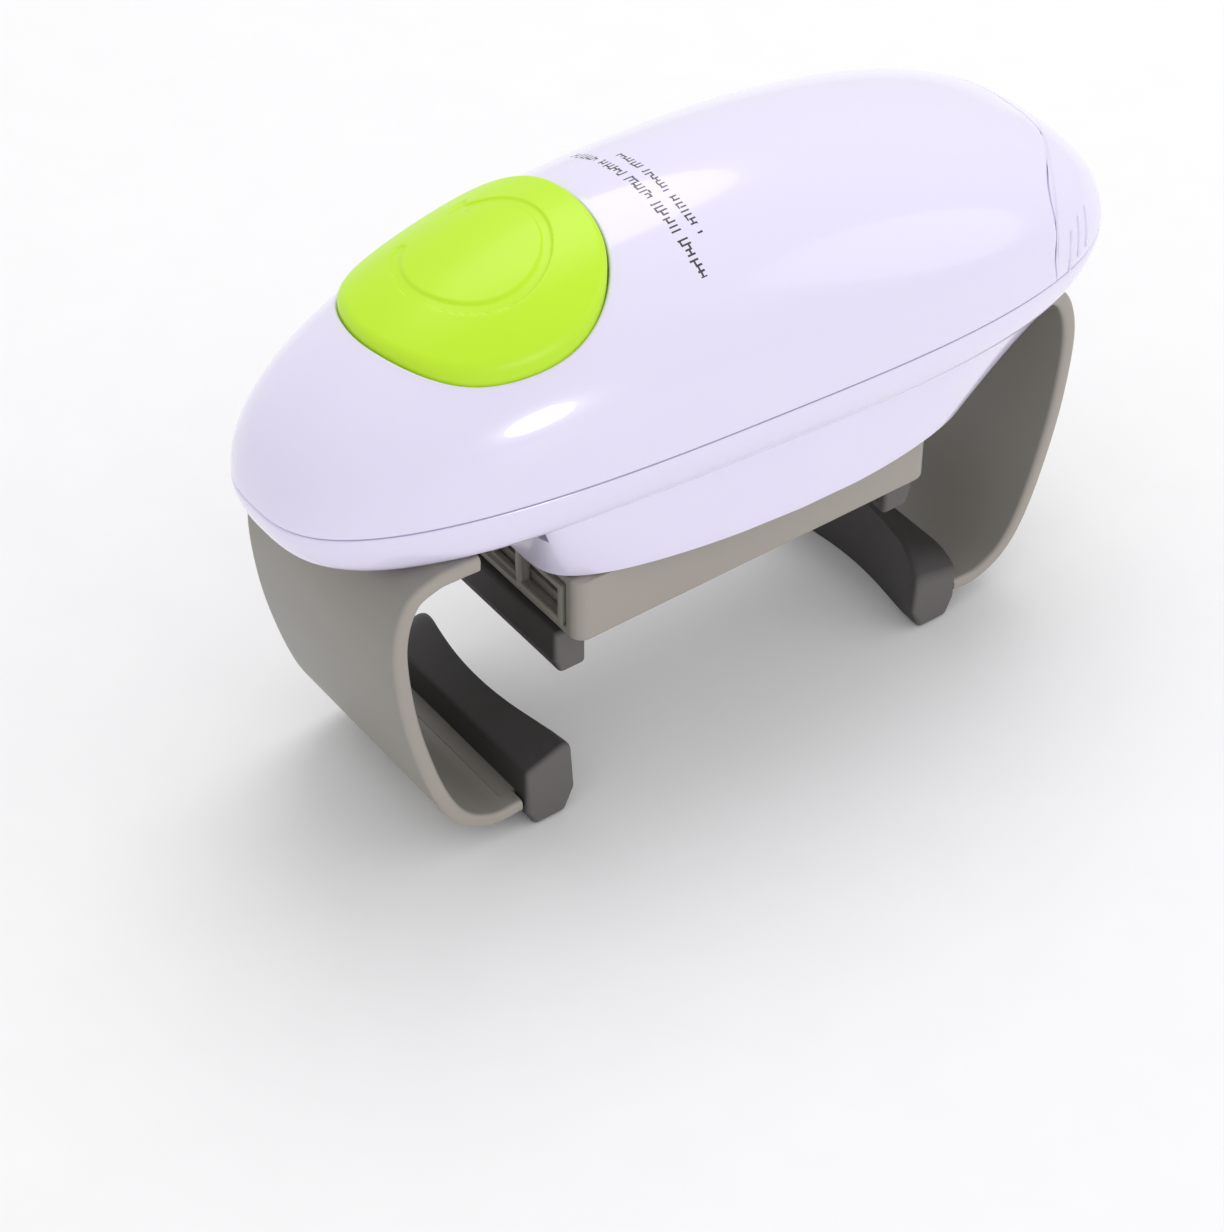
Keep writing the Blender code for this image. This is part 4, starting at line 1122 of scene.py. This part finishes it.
def build_jaw(side):
    """A lid jaw: a rounded rubber block with a hollow, ribbed gripping face."""
    low, high = JAW_LOW, JAW_HIGH
    rings = []
    for y in along_y(high.y, JAW_LIP, 5, 41):
        corners = [(jaw_face(y), low.z), (high.x - 1.5 * MM, low.z), (high.x, low.z + 4 * MM),
                   (high.x, high.z), (jaw_face(y), high.z)]
        outline = round_end(rounded_outline(corners, JAW_ROUNDS, 5), y, high.y, JAW_LIP)
        rings.append(np.stack([outline[:, 0], np.full(len(outline), y), outline[:, 1]], 1))
    jaw = skin(f"jaw_{side}_block", rings, crease=45)
    pockets = [slab((42.5, 45.1), (0.3 - near, -far - 0.3), (-53.3, -40)) for near, far in JAW_LEGS]
    boolean(jaw, "DIFFERENCE", *pockets)
    dress(for_side(jaw, side), f"{side}_jaw", "charcoal_rubber", f"jaw_pad_{side}")
    dress(jaw_ribs(side), f"{side}_jaw", "charcoal_rubber")


def jaw_ribs(side):
    """Upright grip ribs along the jaw's hollow face."""
    sizes = bpy.context.scene.opener_grips
    graph, wires = geometry_tree("jaw_grip_ribs", [("Rib Radius", "NodeSocketFloat"),
                                                   ("Rib Height", "NodeSocketFloat")])
    rod = graph.add("GeometryNodeMeshUVSphere", None, 16, 12, 1.0)
    scale = graph.add("ShaderNodeCombineXYZ", None, wires["Rib Radius"], wires["Rib Radius"],
                      wires["Rib Height"] * 0.5)
    shaped = graph.add("GeometryNodeTransform", None, rod, Scale=scale)
    copies = graph.add("GeometryNodeInstanceOnPoints", None, wires["Geometry"], Instance=shaped)
    close_tree(graph, copies, "charcoal_rubber")
    sign = 1 if side == "right" else -1
    low, high = JAW_LOW, JAW_HIGH
    places = []
    for y in np.linspace(low.y + 3 * MM, high.y - 3 * MM, sizes.jaw_rib_count):
        places.append((sign * (jaw_face(y) + 0.15 * MM), sign * y, (low.z + high.z) / 2))
    return grown(f"jaw_{side}_ribs", path_mesh(places), graph,
                 {"Rib Radius": 0.55 * MM, "Rib Height": (high.z - low.z) * 0.8})


# ------------------------------------------------------------------ cells, springs and screws

def build_cells():
    """Each cell: a crimped jacket with bright ends, turned about its own axis."""
    for number in (1, 2):
        low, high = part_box(f"battery_{number}")
        centre = ((low.y + high.y) / 2, (low.z + high.z) / 2)
        radius = (high.z - low.z) / 2
        sign = 1 if number == 1 else -1
        start = low.x if sign > 0 else high.x
        length = high.x - low.x

        def profile(points):
            return [(r, start + sign * along) for r, along in points]

        nub = length - 1.4 * MM
        jacket = turned(f"cell_{number}_jacket", profile(
            [(radius - 0.9 * MM, 0.25 * MM), (radius - 0.35 * MM, 0.25 * MM), (radius, 0.6 * MM),
             (radius, nub - 0.6 * MM), (radius - 0.35 * MM, nub - 0.2 * MM),
             (radius - 1.1 * MM, nub - 0.2 * MM), (radius - 1.1 * MM, nub - 0.9 * MM),
             (radius - 0.6 * MM, nub - 1.1 * MM), (radius - 0.6 * MM, 1.2 * MM),
             (radius - 0.9 * MM, 1.0 * MM)]), centre, 96, "X")
        dress(jacket, "housing", "cell_jacket", f"battery_{number}")
        base = turned(f"cell_{number}_base", profile(
            [(0, 0.3 * MM), (3.4 * MM, 0.3 * MM), (3.8 * MM, 0.0), (radius - 1.4 * MM, 0.0),
             (radius - 1.0 * MM, 0.3 * MM), (radius - 1.0 * MM, 1.3 * MM), (0, 1.3 * MM)]),
            centre, 64, "X")
        tip = turned(f"cell_{number}_tip", profile(
            [(0, nub - 1.2 * MM), (radius - 1.2 * MM, nub - 1.2 * MM), (radius - 1.2 * MM, nub - 0.4 * MM),
             (3.6 * MM, nub - 0.3 * MM), (2.9 * MM, nub + 0.1 * MM), (2.75 * MM, length - 0.4 * MM),
             (2.3 * MM, length), (0, length)]), centre, 64, "X")
        dress(merge(f"cell_{number}_ends", base, tip), "housing", "cell_jacket", finish="steel")


def spring_tree(finish):
    """A round-wire coil: a spiral curve swept with a circle, closed at both ends."""
    graph, wires = geometry_tree("coil", [("Turns", "NodeSocketFloat"), ("Coil Radius", "NodeSocketFloat"),
                                          ("Height", "NodeSocketFloat"), ("Wire Radius", "NodeSocketFloat")])
    spiral = graph.add("GeometryNodeCurveSpiral", None, Resolution=40, Rotations=wires["Turns"],
                       Start_Radius=wires["Coil Radius"], End_Radius=wires["Coil Radius"],
                       Height=wires["Height"])
    ring = graph.add("GeometryNodeCurvePrimitiveCircle", {"mode": "RADIUS"}, Resolution=14,
                     Radius=wires["Wire Radius"])
    swept = graph.add("GeometryNodeCurveToMesh", None, spiral, ring, Fill_Caps=True)
    close_tree(graph, swept, finish)
    return graph


def build_springs():
    graph = spring_tree("steel")
    rows = (("button_spring", "housing", 5.0, 5 * MM, 0.45 * MM, "Z"),
            ("clutch_spring", "arm_pinion", 2.0, 6 * MM, 0.4 * MM, "Z"),
            ("battery_spring", "housing", 2.0, 3.4 * MM, 0.4 * MM, "X"))
    for node, body, turns, radius, wire, axis in rows:
        low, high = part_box(node)
        reach = (high.z - low.z if axis == "Z" else high.x - low.x) - 2 * wire
        coil = grown(f"{node}_coil", path_mesh([(0, 0, 0)]), graph,
                     {"Turns": turns, "Coil Radius": radius, "Height": reach, "Wire Radius": wire})
        centre = (low + high) / 2
        if axis == "Z":
            place = Matrix.Translation((centre.x, centre.y, low.z + wire))
        else:
            turn = Matrix.Rotation(math.radians(90), 4, "Y")
            place = Matrix.Translation((low.x + wire, centre.y, centre.z)) @ turn
        coil.data.transform(place)
        dress(coil, body, "steel", node)


# Heads and shanks of the screws, mm: head radius, head height, shank radius
SCREW_SIZES = {"housing": (2.7, 1.9, 1.3), "carriage": (2.1, 0.9, 1.0), "arm": (2.6, 1.5, 1.3),
               "motor": (1.7, 0.5, 0.7)}


def build_screws():
    """Cross-head screws: a domed head with a cross recess and a threaded shank."""
    rows = [(f"housing_screw_{i}", "housing") for i in range(1, 5)]
    rows += [(f"carriage_screw_{i}", "carriage") for i in range(1, 5)]
    rows += [(f"arm_screw_{side}", f"{side}_arm") for side in ("left", "right")]
    rows += [(f"motor_screw_{i}", "housing") for i in (1, 2)]
    for node, body in rows:
        low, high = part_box(node)
        x, y = middle(node)
        head, thick, shank = (size * MM for size in SCREW_SIZES[node.split("_")[0]])
        profile = [(0, low.z), (head * 0.7, low.z), (head * 0.93, low.z + thick * 0.2),
                   (head, low.z + thick * 0.5), (head, low.z + thick), (shank, low.z + thick)]
        pitch = shank * 0.7
        height = low.z + thick + pitch
        while height < high.z - pitch:
            profile += [(shank * 0.8, height - pitch * 0.25), (shank, height)]
            height += pitch
        profile += [(shank * 0.8, high.z - 0.3 * MM), (shank * 0.3, high.z), (0, high.z)]
        screw = turned(f"{node}_turned", profile, (x, y), 40)
        slot, reach, deep = head * 0.16, head * 0.62, low.z + thick * 0.6
        bars = [block((x - wide, y - long, low.z - MM), (x + wide, y + long, deep))
                for wide, long in ((slot, reach), (reach, slot))]
        boolean(screw, "DIFFERENCE", boolean(bars[0], "UNION", bars[1]))
        dress(screw, body, "steel", node)


# ------------------------------------------------------------------ carried-over working parts

def finish_working_parts():
    """Puts a finish on each working part that still shows."""
    slots = {row["node"]: row["material_slot"] for row in frame["record"]["subparts"]}
    for name, node in frame["nodes"].items():
        node.data.materials.clear()
        node.data.materials.append(FINISHES[slots[name]].material)


# ------------------------------------------------------------------ stage

# The studio's round lamps: place and diameter; each is aimed at LAMP_AIM
LAMPS = {"key": ((0.087, -1.215, 0.225), 0.20), "top": ((0.35, 0.35, 1.3), 1.0),
         "side": ((1.1, -1.0, 0.7), 0.9)}
LAMP_AIM = Vector((0, 0, 0.08))
FLOOR_LOW, FLOOR_HIGH = (-3, -3, -0.02), (3, 3, -0.0002)


def build_stage():
    look = bpy.context.scene.opener_stage
    floor = block(FLOOR_LOW, FLOOR_HIGH, "floor")
    paint = Finish("floor_paint")
    fine = paint.noise(60.0, 2.0)
    paint.put(Base_Color=paint.mix(fine, (0.90, 0.90, 0.91), (0.93, 0.93, 0.94)), Roughness=0.6)
    floor.data.materials.append(paint.material)
    world = bpy.data.worlds.new("studio")
    world.use_nodes = True
    colour, strength = world.node_tree.nodes["Background"].inputs[:2]
    colour.default_value = (1.0, 1.0, 1.0, 1.0)
    strength.default_value = look.surround
    bpy.context.scene.world = world
    for name, (place, size) in LAMPS.items():
        lamp = bpy.data.lights.new(name, "AREA")
        lamp.shape = "DISK"
        lamp.size = size
        lamp.energy = getattr(look, f"{name}_power")
        light = bpy.data.objects.new(name, lamp)
        light.location = place
        light.rotation_euler = (LAMP_AIM - Vector(place)).to_track_quat("-Z", "Y").to_euler()
        bpy.context.scene.collection.objects.link(light)
    camera = bpy.data.cameras.new("camera")
    camera.sensor_width = 36
    camera.lens = look.lens
    camera.clip_start = 0.01
    eye = bpy.data.objects.new("camera", camera)
    eye.location = look.eye
    roll = Matrix.Rotation(math.radians(look.roll), 4, "Z")
    aim = Vector(look.facing).to_track_quat("-Z", "Y").to_matrix().to_4x4()
    eye.matrix_world = Matrix.Translation(look.eye) @ aim @ roll
    bpy.context.scene.collection.objects.link(eye)
    bpy.context.scene.camera = eye
    bpy.context.scene.view_settings.view_transform = "Standard"


# ------------------------------------------------------------------ add-on

class OPENER_PG_housing(bpy.types.PropertyGroup):
    around: IntProperty(name="Facets", description="Points round the housing's outline",
                        default=320, min=64)
    wall: FloatProperty(name="Wall", description="Thickness of the shells", default=2.2 * MM,
                        unit="LENGTH")
    button_gap: FloatProperty(name="Button Gap", description="Gap round the button",
                              default=0.55 * MM, unit="LENGTH")
    rib_count: IntProperty(name="Door Ribs", description="Grip ribs on each side of the door",
                           default=3)
    rib_width: FloatProperty(name="Rib Width", description="Width of a grip rib",
                             default=1.3 * MM, unit="LENGTH")
    rib_length: FloatProperty(name="Rib Length", description="Length of a grip rib",
                              default=9 * MM, unit="LENGTH")


class OPENER_PG_button(bpy.types.PropertyGroup):
    radius: FloatProperty(name="Radius", description="Mean radius of the cap", default=26 * MM,
                          unit="LENGTH")
    rise: FloatProperty(name="Rise", description="Height of the cap over the dome",
                        default=1.7 * MM, unit="LENGTH")
    side_rise: FloatProperty(name="Side Rise", description="Extra height of the cap at both sides",
                             default=1.5 * MM, unit="LENGTH")
    edge_round: FloatProperty(name="Edge", description="Rounding of the cap's edge",
                              default=1.5 * MM, unit="LENGTH")
    mark_radius: FloatProperty(name="Mark Radius", description="Radius of the turning arrow",
                               default=15 * MM, unit="LENGTH")
    mark_width: FloatProperty(name="Mark Width", description="Width of the arrow's groove",
                              default=2.6 * MM, unit="LENGTH")
    mark_depth: FloatProperty(name="Mark Depth", description="Depth of the arrow's groove",
                              default=0.45 * MM, unit="LENGTH")


class OPENER_PG_grips(bpy.types.PropertyGroup):
    arm_thickness: FloatProperty(name="Arm Thickness", description="Thickness of an arm",
                                 default=3.6 * MM, unit="LENGTH")
    arm_half_width: FloatProperty(name="Arm Half Width", description="Half of an arm's width",
                                  default=ARM_HIGH.y, unit="LENGTH")
    pad_half_length: FloatProperty(name="Pad Half Length", description="Half of a grip's length",
                                   default=PAD_HIGH.y, unit="LENGTH")
    carriage_round: FloatProperty(name="Carriage Edge", description="Rounding of its lower edge",
                                  default=1.0 * MM, unit="LENGTH")
    carriage_wall: FloatProperty(name="Carriage Wall", description="Thickness of its walls",
                                 default=2.4 * MM, unit="LENGTH")
    jaw_hollow: FloatProperty(name="Jaw Hollow", description="Depth of a lid jaw's hollow face",
                              default=1.0 * MM, unit="LENGTH")
    jaw_rib_count: IntProperty(name="Jaw Ribs", description="Grip ribs on a lid jaw", default=15)


class OPENER_PG_colours(bpy.types.PropertyGroup):
    shell: FloatVectorProperty(name="Shell", description="Colour of the shells", subtype="COLOR",
                               size=3, default=(0.79, 0.745, 0.94))
    button: FloatVectorProperty(name="Button", description="Colour of the button", subtype="COLOR",
                                size=3, default=(0.53, 0.84, 0.012))
    arms: FloatVectorProperty(name="Arms", description="Colour of arms and carriage",
                              subtype="COLOR", size=3, default=(0.262, 0.248, 0.220))
    arm_rim_highlight: FloatVectorProperty(name="Arm Rims", description="Colour of the rims of the arms",
                                  # Painted highlight: the paler colour painted on the arms' rims and side
                                  # faces in place of light on them
                                  subtype="COLOR", size=3, default=(0.36, 0.325, 0.29))
    grips: FloatVectorProperty(name="Grips", description="Colour of the rubber grips",
                               subtype="COLOR", size=3, default=(0.042, 0.038, 0.038))
    # Painted highlight: the paler colour painted on the end faces of the grips and lid jaws in place of
    # light on them
    grip_end_highlight: FloatVectorProperty(name="Grip Ends", description="Colour of the grips' trimmed ends",
                                   subtype="COLOR", size=3, default=(0.12, 0.11, 0.11))


class OPENER_PG_stage(bpy.types.PropertyGroup):
    eye: FloatVectorProperty(name="Eye", description="Place of the camera", size=3,
                             subtype="TRANSLATION", default=(-0.3620, -0.4647, 0.5345))
    facing: FloatVectorProperty(name="Facing", description="Direction of the camera", size=3,
                                subtype="DIRECTION", default=(0.4453, 0.5988, -0.6657))
    roll: FloatProperty(name="Roll", description="Roll of the camera, degrees", default=0.37)
    lens: FloatProperty(name="Lens", description="Focal length, mm", default=101.7)
    surround: FloatProperty(name="Surround", description="Strength of the studio's surround",
                            default=0.82)
    key_power: FloatProperty(name="Key", description="Power of the key light", default=1.2,
                             unit="POWER")
    top_power: FloatProperty(name="Top", description="Power of the top light", default=5.0,
                             unit="POWER")
    side_power: FloatProperty(name="Side", description="Power of the side light", default=1.5,
                              unit="POWER")


class OPENER_OT_finishes(bpy.types.Operator):
    """Makes the finishes and puts them on the working parts."""
    bl_idname = "opener.finishes"
    bl_label = "Finishes"

    def execute(self, context):
        make_finishes()
        finish_working_parts()
        return {"FINISHED"}


class OPENER_OT_upper_shell(bpy.types.Operator):
    """Builds the dome with its button hole."""
    bl_idname = "opener.upper_shell"
    bl_label = "Upper Shell"

    def execute(self, context):
        build_upper_shell()
        return {"FINISHED"}


class OPENER_OT_battery_door(bpy.types.Operator):
    """Builds the battery door with its ribs and latch."""
    bl_idname = "opener.battery_door"
    bl_label = "Battery Door"

    def execute(self, context):
        build_battery_door()
        return {"FINISHED"}


class OPENER_OT_lower_shell(bpy.types.Operator):
    """Builds the underside and its skirt."""
    bl_idname = "opener.lower_shell"
    bl_label = "Lower Shell"

    def execute(self, context):
        build_lower_shell()
        return {"FINISHED"}


class OPENER_OT_button(bpy.types.Operator):
    """Builds the button with its turning arrow."""
    bl_idname = "opener.button"
    bl_label = "Button"

    def execute(self, context):
        build_button()
        return {"FINISHED"}


class OPENER_OT_arms(bpy.types.Operator):
    """Builds both arms and their grips."""
    bl_idname = "opener.arms"
    bl_label = "Arms and Grips"

    def execute(self, context):
        for side in ("left", "right"):
            build_arm(side)
            build_pad(side)
        return {"FINISHED"}


class OPENER_OT_carriage(bpy.types.Operator):
    """Builds the carriage, its cover and both lid jaws."""
    bl_idname = "opener.carriage"
    bl_label = "Carriage and Jaws"

    def execute(self, context):
        build_carriage()
        build_window_ledges()
        build_cover()
        for side in ("left", "right"):
            build_jaw(side)
        return {"FINISHED"}


class OPENER_OT_small_parts(bpy.types.Operator):
    """Builds the cells, springs and screws."""
    bl_idname = "opener.small_parts"
    bl_label = "Cells, Springs and Screws"

    def execute(self, context):
        build_cells()
        build_springs()
        build_screws()
        return {"FINISHED"}


class OPENER_OT_stage(bpy.types.Operator):
    """Sets the floor, the studio lights and the camera."""
    bl_idname = "opener.stage"
    bl_label = "Stage"

    def execute(self, context):
        build_stage()
        return {"FINISHED"}


OPERATORS = (OPENER_OT_finishes, OPENER_OT_stage, OPENER_OT_upper_shell, OPENER_OT_battery_door,
             OPENER_OT_lower_shell, OPENER_OT_button, OPENER_OT_arms, OPENER_OT_carriage,
             OPENER_OT_small_parts)
GROUPS = {"opener_housing": OPENER_PG_housing, "opener_button": OPENER_PG_button,
          "opener_grips": OPENER_PG_grips, "opener_colours": OPENER_PG_colours,
          "opener_stage": OPENER_PG_stage}


class OPENER_PT_panel(bpy.types.Panel):
    """Lists the sizes, the colours and the building steps."""
    bl_idname = "OPENER_PT_panel"
    bl_label = "Jar Opener"
    bl_space_type = "VIEW_3D"
    bl_region_type = "UI"
    bl_category = "Jar Opener"

    def draw(self, context):
        for name, group in GROUPS.items():
            column = self.layout.box().column()
            for prop in group.__annotations__:
                column.prop(getattr(context.scene, name), prop)
        for operator in OPERATORS:
            self.layout.operator(operator.bl_idname)


def register():
    for cls in (*GROUPS.values(), *OPERATORS, OPENER_PT_panel):
        bpy.utils.register_class(cls)
    for name, group in GROUPS.items():
        setattr(bpy.types.Scene, name, PointerProperty(type=group))


def unregister():
    for name in GROUPS:
        delattr(bpy.types.Scene, name)
    for cls in reversed((*GROUPS.values(), *OPERATORS, OPENER_PT_panel)):
        bpy.utils.unregister_class(cls)


def main():
    register()
    for operator in OPERATORS:
        group, name = operator.bl_idname.split(".")
        getattr(getattr(bpy.ops, group), name)()


if __name__ == "__main__":
    main()
